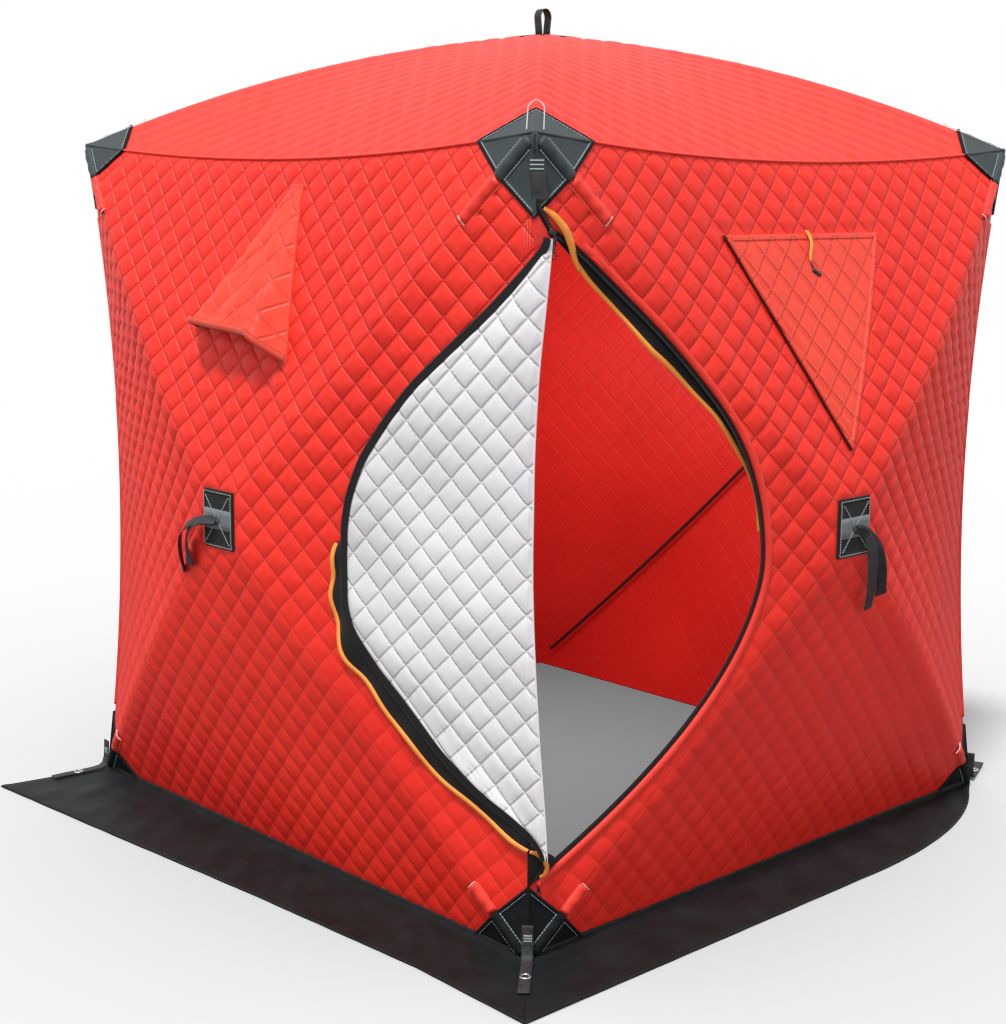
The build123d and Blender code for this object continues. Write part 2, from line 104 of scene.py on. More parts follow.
def wall_net(turn, depth=0.0):
    """Corner, hub, edge and ridge control points of a wall, depth in from its outer face."""
    wide = HALF_SIDE - depth
    top = CORNER_HEIGHT - depth
    out = HUB_REACH - depth
    signs = ((-1, -1), (1, -1), (1, 1), (-1, 1))
    corners = [world(turn, x * wide, top * (z + 1) / 2, wide) for x, z in signs]
    hub = [world(turn, x * HUB_HALF, HUB_HEIGHT + z * HUB_HALF, out) for x, z in signs]
    right = 2 * tuck_at(turn, 1)
    left = 2 * tuck_at(turn, -1)
    edges = [
        world(turn, 0, 0, wide),
        world(turn, wide - right, top / 2, wide - right),
        world(turn, 0, top - 2 * SEAM_SAG, wide - 2 * SEAM_TUCK),
        world(turn, -wide + left, top / 2, wide - left),
    ]
    outward = world(turn, 0, 0, 1)
    bows = [WALL_BOW if tuck_at(turn, x) else 0.0 for x, z in signs]
    ridges = [(h + c) / 2 + outward * 2 * b for h, c, b in zip(hub, corners, bows)]
    return np.array([corners, hub, edges, ridges])


def roof_net(depth=0.0):
    wide = HALF_SIDE - depth
    low = CORNER_HEIGHT - depth
    signs = ((-1, -1), (1, -1), (1, 1), (-1, 1))
    corners = [np.array([x * wide, y * wide, low]) for x, y in signs]
    hub = [np.array([x * HUB_HALF, y * HUB_HALF, ROOF_HUB_HEIGHT - depth]) for x, y in signs]
    pull = wide - 2 * SEAM_TUCK
    edges = [np.array([x * pull, y * pull, low - 2 * SEAM_SAG])
             for x, y in ((0, -1), (1, 0), (0, 1), (-1, 0))]
    ridges = [(h + c) / 2 + np.array([0, 0, 2 * ROOF_BOW]) for h, c in zip(hub, corners)]
    return np.array([corners, hub, edges, ridges])


def patch_of(net, i):
    corners, hub, edges, ridges = net
    j = (i + 1) % 4
    quarter = (hub[i] + hub[j] + corners[i] + corners[j]) / 4
    middle = (ridges[i] + ridges[j]) / 2 + ((hub[i] + hub[j]) / 2 + edges[i]) / 2 - quarter
    return np.array([
        [hub[i], (hub[i] + hub[j]) / 2, hub[j]],
        [ridges[i], middle, ridges[j]],
        [corners[i], edges[i], corners[j]],
    ])


def weights(t):
    return np.stack([(1 - t) ** 2, 2 * t * (1 - t), t**2], axis=-1)


def on_skin(net, x, y):
    """Points of the cloth at x and y, each from -1 to 1 across and up."""
    x, y = np.broadcast_arrays(np.asarray(x, float), np.asarray(y, float))
    m = np.maximum(np.abs(x), np.abs(y))
    k = HUB_HALF / HALF_SIDE
    t = (m - k) / (1 - k)
    safe = np.maximum(m, 1e-9)
    side = np.where(np.abs(y) >= np.abs(x), np.where(y < 0, 0, 2), np.where(x > 0, 1, 3))
    v = np.choose(side, [(x / safe + 1) / 2, (y / safe + 1) / 2, (1 - x / safe) / 2, (1 - y / safe) / 2])
    result = np.zeros(x.shape + (3,))
    for i in range(4):
        pick = side == i
        result[pick] = np.einsum("na,nb,abc->nc", weights(t[pick]), weights(v[pick]), patch_of(net, i))
    hub = net[1]
    flat = t < 0
    a = (x[flat, None] / k + 1) / 2
    b = (y[flat, None] / k + 1) / 2
    result[flat] = (hub[0] * (1 - a) + hub[1] * a) * (1 - b) + (hub[3] * (1 - a) + hub[2] * a) * b
    return result


def skin_and_normal(net, x, y):
    step = 0.012
    across = on_skin(net, x + step, y) - on_skin(net, x - step, y)
    up = on_skin(net, x, y + step) - on_skin(net, x, y - step)
    return on_skin(net, x, y), unit(np.cross(across, up))


def find_xy(net, turn, across, up):
    """The x and y of the cloth at a place across and up, as seen square to the wall."""
    across, up = np.broadcast_arrays(np.asarray(across, float), np.asarray(up, float))
    right = world(turn, 1, 0, 0)
    x = across / HALF_SIDE
    y = (up - HUB_HEIGHT) / FLAT
    for _ in range(12):
        p = on_skin(net, np.clip(x, -1, 1), np.clip(y, -1, 1))
        x = x + (across - p @ right) / HALF_SIDE
        y = y + (up - p[..., 2]) / FLAT
    return x, y


def on_wall(turn, across, up, stand=0.0):
    """Points that stand off the cloth of a wall, at a place across and up."""
    net = wall_net(turn)
    x, y = find_xy(net, turn, across, up)
    p, n = skin_and_normal(net, x, y)
    return p + n * np.asarray(stand)[..., None]


# Meshes from arrays
def make_mesh(name, verts, faces, uv=None, smooth=True):
    mesh = bpy.data.meshes.new(name)
    mesh.from_pydata([tuple(v) for v in verts], [], [tuple(int(i) for i in f) for f in faces])
    mesh.update()
    if uv is not None:
        layer = mesh.uv_layers.new(name="flat")
        loops = np.zeros(len(mesh.loops), dtype=np.int32)
        mesh.loops.foreach_get("vertex_index", loops)
        layer.data.foreach_set("uv", np.asarray(uv, np.float32)[loops].ravel())
    mesh.polygons.foreach_set("use_smooth", [smooth] * len(mesh.polygons))
    obj = bpy.data.objects.new(name, mesh)
    bpy.context.scene.collection.objects.link(obj)
    return obj


def grid_faces(rows, columns, closed=False):
    faces = []
    for r in range(rows - 1):
        for c in range(columns if closed else columns - 1):
            d = (c + 1) % columns
            faces.append((r * columns + c, r * columns + d, (r + 1) * columns + d, (r + 1) * columns + c))
    return faces


def grid_mesh(name, points, uv=None, flip=False):
    """A sheet from a grid of points, rows by columns."""
    rows, columns = points.shape[:2]
    faces = grid_faces(rows, columns)
    if flip:
        faces = [f[::-1] for f in faces]
    return make_mesh(name, points.reshape(-1, 3), faces, None if uv is None else uv.reshape(-1, 2))


def area_of(obj):
    return sum(p.area for p in obj.data.polygons)


def join(name, objects):
    """One object from several, with their materials kept."""
    bpy.ops.object.select_all(action="DESELECT")
    for o in objects:
        o.select_set(True)
    bpy.context.view_layer.objects.active = objects[0]
    bpy.ops.object.join()
    objects[0].name = name
    return objects[0]


def thicken(obj, thickness, offset=-1.0):
    """Gives a sheet its thickness, and applies it."""
    solid = obj.modifiers.new("thick", "SOLIDIFY")
    solid.thickness = thickness
    solid.offset = offset
    bpy.context.view_layer.objects.active = obj
    bpy.ops.object.modifier_apply(modifier=solid.name)
    return obj


def tube(name, points, radius, sides=8, closed=False):
    """A round cord or seam along a line of points."""
    points = np.asarray(points, float)
    ahead = np.roll(points, -1, axis=0) - np.roll(points, 1, axis=0)
    if not closed:
        ahead[0] = points[1] - points[0]
        ahead[-1] = points[-1] - points[-2]
    ahead = unit(ahead)
    helper = np.where(np.abs(ahead[:, 2:]) > 0.9, [[1.0, 0, 0]], [[0, 0, 1.0]])
    side = unit(np.cross(ahead, helper))
    over = np.cross(side, ahead)
    angle = np.linspace(0, 2 * math.pi, sides, endpoint=False)
    ring = side[:, None] * np.cos(angle)[None, :, None] + over[:, None] * np.sin(angle)[None, :, None]
    verts = points[:, None] + ring * radius
    faces = grid_faces(len(points), sides, closed=True)
    count = len(points)
    if closed:
        last = (count - 1) * sides
        faces += [(last + c, last + (c + 1) % sides, (c + 1) % sides, c) for c in range(sides)]
    else:
        faces += [tuple(range(sides))[::-1], tuple((count - 1) * sides + c for c in range(sides))]
    return make_mesh(name, verts.reshape(-1, 3), faces)


# Cloth cut to a line in its flat plane
def trim(points, faces, value):
    """Keeps the side of a line where value is positive, with its vertices moved onto the line."""
    faces = np.asarray(faces)
    f = value(points)
    pairs = np.concatenate([faces[:, [i, (i + 1) % faces.shape[1]]] for i in range(faces.shape[1])])
    pairs = np.unique(np.sort(pairs, axis=1), axis=0)
    for _ in range(3):
        a, b = pairs[:, 0], pairs[:, 1]
        cross = f[a] * f[b] < 0
        a, b = a[cross], b[cross]
        if len(a) == 0:
            break
        share = f[a] / (f[a] - f[b])
        mover = np.where(share < 0.5, a, b)
        spot = points[a] + (points[b] - points[a]) * share[:, None]
        best = {}
        for v, s, p in zip(mover, np.minimum(share, 1 - share), spot):
            if v not in best or s < best[v][0]:
                best[v] = (s, p)
        points = points.copy()
        for v, (_, p) in best.items():
            points[v] = p
            f[v] = 0.0
    kept = []
    for face in faces:
        g = f[face]
        if g.min() >= 0 and g.max() > 0:
            kept.append(tuple(face))
        elif g.max() > 0:
            n = len(face)
            part = tuple(face[i] for i in range(n) if g[i] >= 0)
            if len(part) >= 3:
                kept.append(part)
    return points, kept


def compact(points, faces):
    used = sorted({i for f in faces for i in f})
    place = {old: new for new, old in enumerate(used)}
    return points[used], [tuple(place[i] for i in f) for f in faces]


def lattice(extent, cell, divisions):
    """A grid whose lines run along the quilting, over a square of twice the extent."""
    step = cell / divisions
    reach = int(math.ceil(extent * math.sqrt(2) / step)) + 1
    ticks = np.arange(-reach, reach + 1) * step
    p, q = np.meshgrid(ticks, ticks, indexing="ij")
    points = np.stack([(p - q) / math.sqrt(2), (p + q) / math.sqrt(2)], axis=-1).reshape(-1, 2)
    faces = np.array(grid_faces(len(ticks), len(ticks)))[:, ::-1]
    near = np.abs(points).max(axis=1) <= extent + 1.5 * step
    faces = faces[near[faces].all(axis=1)]
    for axis in (0, 1):
        for side in (-1, 1):
            points, faces = trim_grid(points, faces, lambda v: extent - side * v[:, axis])
    return points, faces


def trim_grid(points, faces, value):
    points, kept = trim(points, faces, value)
    quads = [f if len(f) == 4 else f + (f[-1],) for f in kept]
    return points, np.array(quads)


def clean(faces):
    return [tuple(dict.fromkeys(int(i) for i in f)) for f in faces]


def pillow(flat, cell=DIAMOND):
    """The height of the quilting, from 0 at the stitches to 1 at the middle of a diamond."""
    p = (flat[..., 0] + flat[..., 1]) / math.sqrt(2) / cell
    q = (flat[..., 1] - flat[..., 0]) / math.sqrt(2) / cell
    fp = np.abs(2 * (p - np.floor(p)) - 1)
    fq = np.abs(2 * (q - np.floor(q)) - 1)
    return ((1 - fp**3.2) * (1 - fq**3.2)) ** 0.6


def fade(distance, width):
    return np.clip(distance / width, 0, 1) ** 2 * (3 - 2 * np.clip(distance / width, 0, 1))


def door_side(p):
    """Distance along the right wall from the front right corner, for points on its front facet."""
    slope = math.atan2(HUB_REACH - HALF_SIDE, HALF_SIDE - HUB_HALF)
    rel = p - np.array([HALF_SIDE, -HALF_SIDE, 0])
    return rel @ np.array([math.sin(slope), math.cos(slope), 0])


def smooth_at(place, places, values, reach=0.03):
    """Values along a smoothed line through points."""
    shifts = np.linspace(-reach, reach, 9)
    return np.mean([np.interp(place + shift, places, values) for shift in shifts], axis=0)


# How far the upper cut edge hangs in from a plain lens
HANG_Z = (0.80, 0.90, 1.00, 1.08, 1.17, 1.25, 1.31, 1.36, 1.41, 1.465, 1.51, 1.555, 1.60)
HANG_IN = (0.0, 0.012, 0.018, 0.020, 0.024, 0.032, 0.033, 0.030, 0.027, 0.018, 0.004, -0.012, -0.008)


def doorway_s(z):
    """Distance of the doorway's cut edge from the front right corner."""
    return DOOR_WIDTH * (1 - ((z - DOOR_MIDDLE) / DOOR_HALF) ** 2) - smooth_at(z, HANG_Z, HANG_IN)


def doorway_value(net, flat):
    """Positive outside the doorway, in metres along the wall."""
    x, y = flat[:, 0] / FLAT, flat[:, 1] / FLAT
    p = on_skin(net, np.clip(x, -1, 1), np.clip(y, -1, 1))
    value = door_side(p) - doorway_s(p[:, 2])
    return np.where((x < 0) & (np.abs(x) >= np.abs(y) - 0.02), value, 1.0)


CAP_LEG = 0.182
CAP_DROP = 0.172


def cap_distance(flat, reach=FLAT):
    """Distance from the nearest cap's slanted edge, negative under the cap."""
    a = reach - np.abs(flat[:, 0])
    b = reach - np.abs(flat[:, 1])
    return (a / CAP_LEG + b / CAP_DROP - 1) * 0.12


def stitch_strength(net, p, flat, doorway):
    """How deep the stitches draw in: less on the taut roof, low on the walls and beside the doorway. On red
    cloth the same value sets how much painted crease shade the colour takes.
    """
    if p[:, 2].min() > 1.2:
        return np.full(len(p), 0.34)
    result = 0.32 + 0.68 * fade(p[:, 2] - 0.45, 0.75)
    if doorway:
        low = 1 - fade(p[:, 2] - 0.55, 0.35)
        beside = fade(doorway_value(net, flat) - 0.01, 0.10)
        result = result * (1 - low * (1 - beside) * 0.9)
    return result


def quilted(name, net, divisions, extra_fade=None, cut=None):
    """The outer face of a wall or of the roof, with its raised diamonds."""
    flat, faces = lattice(FLAT, DIAMOND, divisions)
    if cut:
        flat, faces = trim_grid(flat, faces, cut)
    flat, faces = compact(flat, clean(faces))
    edge = FLAT - np.abs(flat).max(axis=1)
    high = pillow(flat) * fade(edge, 0.030) * fade(cap_distance(flat), 0.02)
    if extra_fade is not None:
        high = high * extra_fade(flat)
    p, n = skin_and_normal(net, flat[:, 0] / FLAT, flat[:, 1] / FLAT)
    strength = stitch_strength(net, p, flat, cut is not None)
    high = high * (0.3 + 0.7 * strength)
    seam = 1 - fade(edge, 0.045)
    wave = np.sin(flat[:, 0] * 61) * np.sin(flat[:, 1] * 47 + 1.3)
    wave = wave + 0.6 * np.sin(flat[:, 0] * 23 + flat[:, 1] * 31)
    lift = -STITCH_DEPTH + (PUFF + 0.0012 * wave * (1 - seam)) * high
    obj = make_mesh(name, p + n * lift[:, None], faces, flat)
    obj.data.attributes.new("strength", "FLOAT", "POINT").data.foreach_set("value", strength)
    return obj


def lining(name, net, cut=None):
    """The inner face of a wall or of the roof."""
    flat, faces = lattice(FLAT, DIAMOND, 2)
    if cut:
        flat, faces = trim_grid(flat, faces, cut)
    flat, faces = compact(flat, clean(faces))
    p, n = skin_and_normal(net, flat[:, 0] / FLAT, flat[:, 1] / FLAT)
    high = pillow(flat) * fade(FLAT - np.abs(flat).max(axis=1), 0.03)
    obj = make_mesh(name, p - n * (0.0035 * high)[:, None], [f[::-1] for f in faces], flat)
    return obj


# Materials
def material(name):
    mat = bpy.data.materials.new(name)
    mat.use_nodes = True
    nodes = mat.node_tree.nodes
    return mat, nodes, mat.node_tree.links, nodes["Principled BSDF"]


def node(nodes, kind, **settings):
    made = nodes.new(kind)
    for key, value in settings.items():
        setattr(made, key, value)
    return made


def math_node(nodes, links, operation, a, b=None, c=None):
    made = node(nodes, "ShaderNodeMath", operation=operation)
    for slot, value in zip(made.inputs, (a, b, c)):
        if value is None:
            continue
        if isinstance(value, (int, float)):
            slot.default_value = value
        else:
            links.new(value, slot)
    return made.outputs[0]


def ramp(nodes, links, value, stops):
    made = node(nodes, "ShaderNodeValToRGB")
    ends = made.color_ramp.elements
    while len(ends) < len(stops):
        ends.new(0.5)
    for element, (place, colour) in zip(ends, stops):
        element.position = place
        element.color = (*colour, 1)
    links.new(value, made.inputs[0])
    return made.outputs[0]


def noise_of(nodes, links, vector, scale, detail=3.0, rough=0.5):
    made = node(nodes, "ShaderNodeTexNoise")
    made.inputs["Scale"].default_value = scale
    made.inputs["Detail"].default_value = detail
    made.inputs["Roughness"].default_value = rough
    links.new(vector, made.inputs["Vector"])
    return made.outputs["Fac"]


def bump_of(nodes, links, height, strength, distance, normal=None):
    made = node(nodes, "ShaderNodeBump")
    made.inputs["Strength"].default_value = strength
    made.inputs["Distance"].default_value = distance
    links.new(height, made.inputs["Height"])
    if normal is not None:
        links.new(normal, made.inputs["Normal"])
    return made.outputs["Normal"]


def lines_of(nodes, links, coordinate, spacing, width):
    """1 on thin lines at every spacing along a coordinate, else 0."""
    share = math_node(nodes, links, "FRACT", math_node(nodes, links, "DIVIDE", coordinate, spacing))
    off = math_node(nodes, links, "ABSOLUTE", math_node(nodes, links, "SUBTRACT", share, 0.5))
    near = math_node(nodes, links, "SUBTRACT", 0.5, off)
    return math_node(nodes, links, "LESS_THAN", near, width / spacing / 2)


def crease_beside(nodes, links, coordinate, reach):
    """0 on the stitch lines across a coordinate, and 1 from a reach beside them."""
    share = math_node(nodes, links, "FRACT", math_node(nodes, links, "DIVIDE", coordinate, DIAMOND))
    off = math_node(nodes, links, "ABSOLUTE", math_node(nodes, links, "SUBTRACT", share, 0.5))
    rise = node(nodes, "ShaderNodeMapRange", interpolation_type="SMOOTHSTEP")
    rise.inputs["From Min"].default_value = 0.0
    rise.inputs["From Max"].default_value = reach / DIAMOND
    links.new(math_node(nodes, links, "SUBTRACT", 0.5, off), rise.inputs["Value"])
    return rise.outputs[0]


def quilt_material(name, low, high, thread, sheen=0.08, rough=0.5, puckers=0.35,
                   depth=0.68, swell_height=0.0021, varied=False):
    """Nylon with stitch lines, thread, crinkles beside the stitches, a fine weave and painted shade along the
    stitch creases.
    """
    mat, nodes, links, shader = material(name)
    uv = node(nodes, "ShaderNodeUVMap", uv_map="flat")
    split = node(nodes, "ShaderNodeSeparateXYZ")
    links.new(uv.outputs[0], split.inputs[0])
    u, v = split.outputs[0], split.outputs[1]
    root = math.sqrt(2)
    p = math_node(nodes, links, "DIVIDE", math_node(nodes, links, "ADD", u, v), root)
    q = math_node(nodes, links, "DIVIDE", math_node(nodes, links, "SUBTRACT", v, u), root)
    line_p = lines_of(nodes, links, p, DIAMOND, 0.0016)
    line_q = lines_of(nodes, links, q, DIAMOND, 0.0016)
    dash_p = lines_of(nodes, links, q, 0.0045, 0.0030)
    dash_q = lines_of(nodes, links, p, 0.0045, 0.0030)
    stitch = math_node(
        nodes, links, "MAXIMUM",
        math_node(nodes, links, "MULTIPLY", line_p, dash_p),
        math_node(nodes, links, "MULTIPLY", line_q, dash_q),
    )
    swell = math_node(
        nodes, links, "MULTIPLY",
        crease_beside(nodes, links, p, 0.0050), crease_beside(nodes, links, q, 0.0050),
    )
    # Mask of the painted crease shade: 0 on the stitch lines, 1 from 2.6 mm beside them.
    shade = math_node(
        nodes, links, "MULTIPLY",
        crease_beside(nodes, links, p, 0.0026), crease_beside(nodes, links, q, 0.0026),
    )
    place = node(nodes, "ShaderNodeTexCoord").outputs["Object"]
    mottled = noise_of(nodes, links, place, 3.0, 4.0, 0.6)
    colour = ramp(nodes, links, mottled, [(0.3, low), (0.7, high)])
    mix = node(nodes, "ShaderNodeMix", data_type="RGBA")
    links.new(math_node(nodes, links, "MULTIPLY", stitch, 0.35), mix.inputs["Factor"])
    links.new(colour, mix.inputs[6])
    mix.inputs[7].default_value = (*thread, 1)
    # Painted shade: the colour is multiplied down to depth (the share kept) along the stitch creases, scaled
    # by the 'strength' attribute where varied.
    painted_crease_shade = node(nodes, "ShaderNodeMix", data_type="RGBA", blend_type="MULTIPLY")
    painted_crease_shade.inputs["Factor"].default_value = 1.0
    amount = node(nodes, "ShaderNodeAttribute", attribute_name="strength").outputs["Fac"] if varied else None
    if varied:
        links.new(amount, painted_crease_shade.inputs["Factor"])
    links.new(mix.outputs[2], painted_crease_shade.inputs[6])
    links.new(ramp(nodes, links, shade, [(0.0, (depth, depth, depth)), (1.0, (1, 1, 1))]), painted_crease_shade.inputs[7])
    links.new(painted_crease_shade.outputs[2], shader.inputs["Base Color"])
    crinkle = node(nodes, "ShaderNodeMapping")
    crinkle.inputs["Scale"].default_value = (1, 1, 0.35)
    links.new(place, crinkle.inputs[0])
    wrinkle = noise_of(nodes, links, crinkle.outputs[0], 38.0, 3.0, 0.55)
    weave = noise_of(nodes, links, place, 900.0, 1.0)
    soft = bump_of(nodes, links, wrinkle, puckers, 0.004)
    fine = bump_of(nodes, links, weave, 0.10, 0.0004, soft)
    stitched = bump_of(nodes, links, stitch, 0.35, 0.0008, fine)
    depth_of = math_node(nodes, links, "MULTIPLY", swell, amount) if varied else swell
    links.new(bump_of(nodes, links, depth_of, 1.0, swell_height, stitched), shader.inputs["Normal"])
    shine = math_node(nodes, links, "ADD", math_node(nodes, links, "MULTIPLY", mottled, 0.15), rough - 0.07)
    links.new(shine, shader.inputs["Roughness"])
    shader.inputs["Sheen Weight"].default_value = sheen
    shader.inputs["Specular IOR Level"].default_value = 0.34
    return mat


def cloth_material(name, low, high, rough=0.75, weave=520.0, depth=0.25, crease=22.0, crease_depth=0.3,
                   sheen=0.05, gloss=0.5):
    """A plain coated or woven cloth with soft creases."""
    mat, nodes, links, shader = material(name)
    place = node(nodes, "ShaderNodeTexCoord").outputs["Object"]
    mottled = noise_of(nodes, links, place, 9.0, 4.0, 0.65)
    links.new(ramp(nodes, links, mottled, [(0.3, low), (0.72, high)]), shader.inputs["Base Color"])
    threads = noise_of(nodes, links, place, weave, 1.0)
    soft = bump_of(nodes, links, noise_of(nodes, links, place, crease, 3.0, 0.55), crease_depth, 0.004)
    links.new(bump_of(nodes, links, threads, depth, 0.0005, soft), shader.inputs["Normal"])
    links.new(
        math_node(nodes, links, "ADD", math_node(nodes, links, "MULTIPLY", mottled, 0.2), rough - 0.1),
        shader.inputs["Roughness"],
    )
    shader.inputs["Sheen Weight"].default_value = sheen
    shader.inputs["Specular IOR Level"].default_value = gloss
    return mat


def webbing_material(name, low, high, ribs=0.0022):
    """Woven webbing with cross ribs, along the second flat coordinate."""
    mat, nodes, links, shader = material(name)
    place = node(nodes, "ShaderNodeTexCoord").outputs["Object"]
    wave = node(nodes, "ShaderNodeTexWave", wave_type="BANDS", bands_direction="Z")
    wave.inputs["Scale"].default_value = 1 / ribs / 6.3
    wave.inputs["Distortion"].default_value = 0.6
    links.new(place, wave.inputs["Vector"])
    mottled = noise_of(nodes, links, place, 60.0, 3.0)
    links.new(ramp(nodes, links, mottled, [(0.3, low), (0.7, high)]), shader.inputs["Base Color"])
    links.new(bump_of(nodes, links, wave.outputs["Fac"], 0.5, 0.0006), shader.inputs["Normal"])
    links.new(
        math_node(nodes, links, "ADD", math_node(nodes, links, "MULTIPLY", mottled, 0.2), 0.6),
        shader.inputs["Roughness"],
    )
    return mat


def solid_material(name, low, high, rough, metal=0.0, grain=180.0):
    """Moulded plastic, a satin rod or plated metal."""
    mat, nodes, links, shader = material(name)
    place = node(nodes, "ShaderNodeTexCoord").outputs["Object"]
    speck = noise_of(nodes, links, place, grain, 3.0)
    links.new(ramp(nodes, links, speck, [(0.3, low), (0.7, high)]), shader.inputs["Base Color"])
    links.new(bump_of(nodes, links, speck, 0.08, 0.0004), shader.inputs["Normal"])
    links.new(
        math_node(nodes, links, "ADD", math_node(nodes, links, "MULTIPLY", speck, 0.15), rough - 0.07),
        shader.inputs["Roughness"],
    )
    shader.inputs["Metallic"].default_value = metal
    return mat


RED = quilt_material("red_quilt", (0.71, 0.018, 0.010), (0.82, 0.028, 0.014), (0.86, 0.09, 0.06), sheen=0.0,
                     varied=True)
LINING_RED = quilt_material("red_lining", (0.54, 0.018, 0.014), (0.64, 0.026, 0.019), (0.6, 0.04, 0.03),
                            depth=0.93, swell_height=0.0008)
WHITE = quilt_material("white_quilt", (0.60, 0.585, 0.61), (0.71, 0.70, 0.725), (0.82, 0.82, 0.84),
                       puckers=0.3,
                       depth=0.88, swell_height=0.0020)
SLATE = cloth_material("slate_cloth", (0.020, 0.030, 0.034), (0.034, 0.047, 0.052), 0.6, gloss=0.35)
BLACK = cloth_material("black_cloth", (0.005, 0.005, 0.006), (0.011, 0.011, 0.012), 0.6, gloss=0.2)
# Near-black cloth: the caps' own dark hems, and painted shade on the lower corner patches and sleeves, whose
# cloth is the slate of the upper ones.
CAP_BLACK_AND_SHADE = cloth_material("dark_hem_and_shaded_corner_cloth", (0.006, 0.007, 0.008), (0.012, 0.0135, 0.014), 0.6, sheen=0.0,
                           gloss=0.08)
SKIRT_BLACK = cloth_material("skirt_cloth", (0.0055, 0.0070, 0.0075), (0.012, 0.0145, 0.0155), 0.6,
                             crease=14.0,
                             sheen=0.0, gloss=0.15)
ORANGE = cloth_material("orange_binding", (0.78, 0.25, 0.025), (0.95, 0.36, 0.05), 0.6)
ORANGE_RED = quilt_material("cover_quilt", (0.74, 0.036, 0.015), (0.86, 0.056, 0.024), (0.88, 0.12, 0.07),
                            depth=0.74, swell_height=0.0018)
HEM_RED = cloth_material("red_hem", (0.70, 0.022, 0.011), (0.80, 0.034, 0.016), 0.5, gloss=0.4)
WHITE_HEM = cloth_material("white_fold", (0.62, 0.60, 0.63), (0.72, 0.70, 0.73), 0.55)
BLACK_WEBBING = webbing_material("black_webbing", (0.010, 0.010, 0.011), (0.030, 0.030, 0.032))
BAND_GREY = cloth_material("grey_band", (0.10, 0.115, 0.125), (0.16, 0.175, 0.185), 0.4)
THREAD = cloth_material("pale_thread", (0.35, 0.45, 0.47), (0.5, 0.6, 0.62), 0.6)
PALE_THREAD = cloth_material("white_thread", (0.75, 0.72, 0.66), (0.85, 0.82, 0.78), 0.6)
RED_THREAD = cloth_material("coral_thread", (0.85, 0.14, 0.10), (0.95, 0.24, 0.17), 0.6)
METAL = solid_material("plated_metal", (0.55, 0.55, 0.56), (0.7, 0.7, 0.71), 0.3, 1.0)
DARK_METAL = solid_material("dark_metal", (0.03, 0.03, 0.033), (0.06, 0.06, 0.065), 0.35, 0.8)
PLASTIC = solid_material("black_plastic", (0.012, 0.012, 0.013), (0.025, 0.025, 0.027), 0.45)
ROD = solid_material("fibreglass_rod", (0.012, 0.012, 0.014), (0.03, 0.03, 0.034), 0.35)


def paint(obj, mat):
    obj.data.materials.clear()
    obj.data.materials.append(mat)
    return obj


# Walls and roof
CAPS = {"front_right": (1, -1), "front_left": (-1, -1), "back_right": (1, 1), "back_left": (-1, 1)}


def near_triangle(flat, points, margin=0.012):
    """Positive outside a triangle of flat points, in metres."""
    result = np.full(len(flat), -1.0)
    for i in range(3):
        a, b = np.array(points[i]), np.array(points[(i + 1) % 3])
        normal = np.array([b[1] - a[1], a[0] - b[0]])
        normal = normal / np.linalg.norm(normal)
        other = np.array(points[(i + 2) % 3])
        if (other - a) @ normal > 0:
            normal = -normal
        result = np.maximum(result, (flat - a) @ normal)
    return result - margin


def flat_place(turn, across, up):
    """Flat coordinates of places across and up."""
    x, y = find_xy(wall_net(turn), turn, np.array(across, float), np.array(up, float))
    return np.stack([x, y], axis=-1) * FLAT


PATCH_HALF = (0.059, 0.069)


def wall_fade(turn):
    def value(flat):
        patch = np.maximum(np.abs(flat[:, 0]) - PATCH_HALF[0], np.abs(flat[:, 1]) - PATCH_HALF[1])
        result = fade(patch, 0.02)
        if turn in (90, 270):
            corners = flat_place(turn, (-0.322, 0.011, 0.248), (1.560, 1.060, 1.560))
            result = result * (0.15 + 0.85 * fade(near_triangle(flat, corners), 0.02))
        return result
    return value


def cloth(obj, body, slot, flat, held="stretched", **more):
    """Attaches a sheet of cloth to a body, so that it moves with it."""
    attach(obj, body)
    share = min(area_of(obj) / more.pop("layers", 1), 0.99 * flat[0] * flat[1])
    return obj


for side, turn in TURN.items():
    cut = (lambda flat: doorway_value(wall_net(90), flat)) if side == "right" else None
    detail = 6 if side in ("front", "right") else 4
    shell = paint(quilted(f"{side}_quilt", wall_net(turn), detail, wall_fade(turn), cut), RED)
    inner = paint(lining(f"{side}_lining", wall_net(turn, QUILT), cut), LINING_RED)
    names = [f"{side}_wall"] + (["right_wall_door_panel"] if side == "right" else [])
    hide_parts(*names)
    for obj in (shell, inner):
        cloth(obj, "tent", "quilted_fabric", (1.90, 1.90))
roof_shell = paint(quilted("roof_quilt", roof_net(), 5), RED)
roof_inner = paint(lining("roof_lining", roof_net(QUILT)), LINING_RED)
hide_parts("roof_canopy")
for obj in (roof_shell, roof_inner):
    cloth(obj, "tent", "quilted_fabric", (1.92, 1.92))


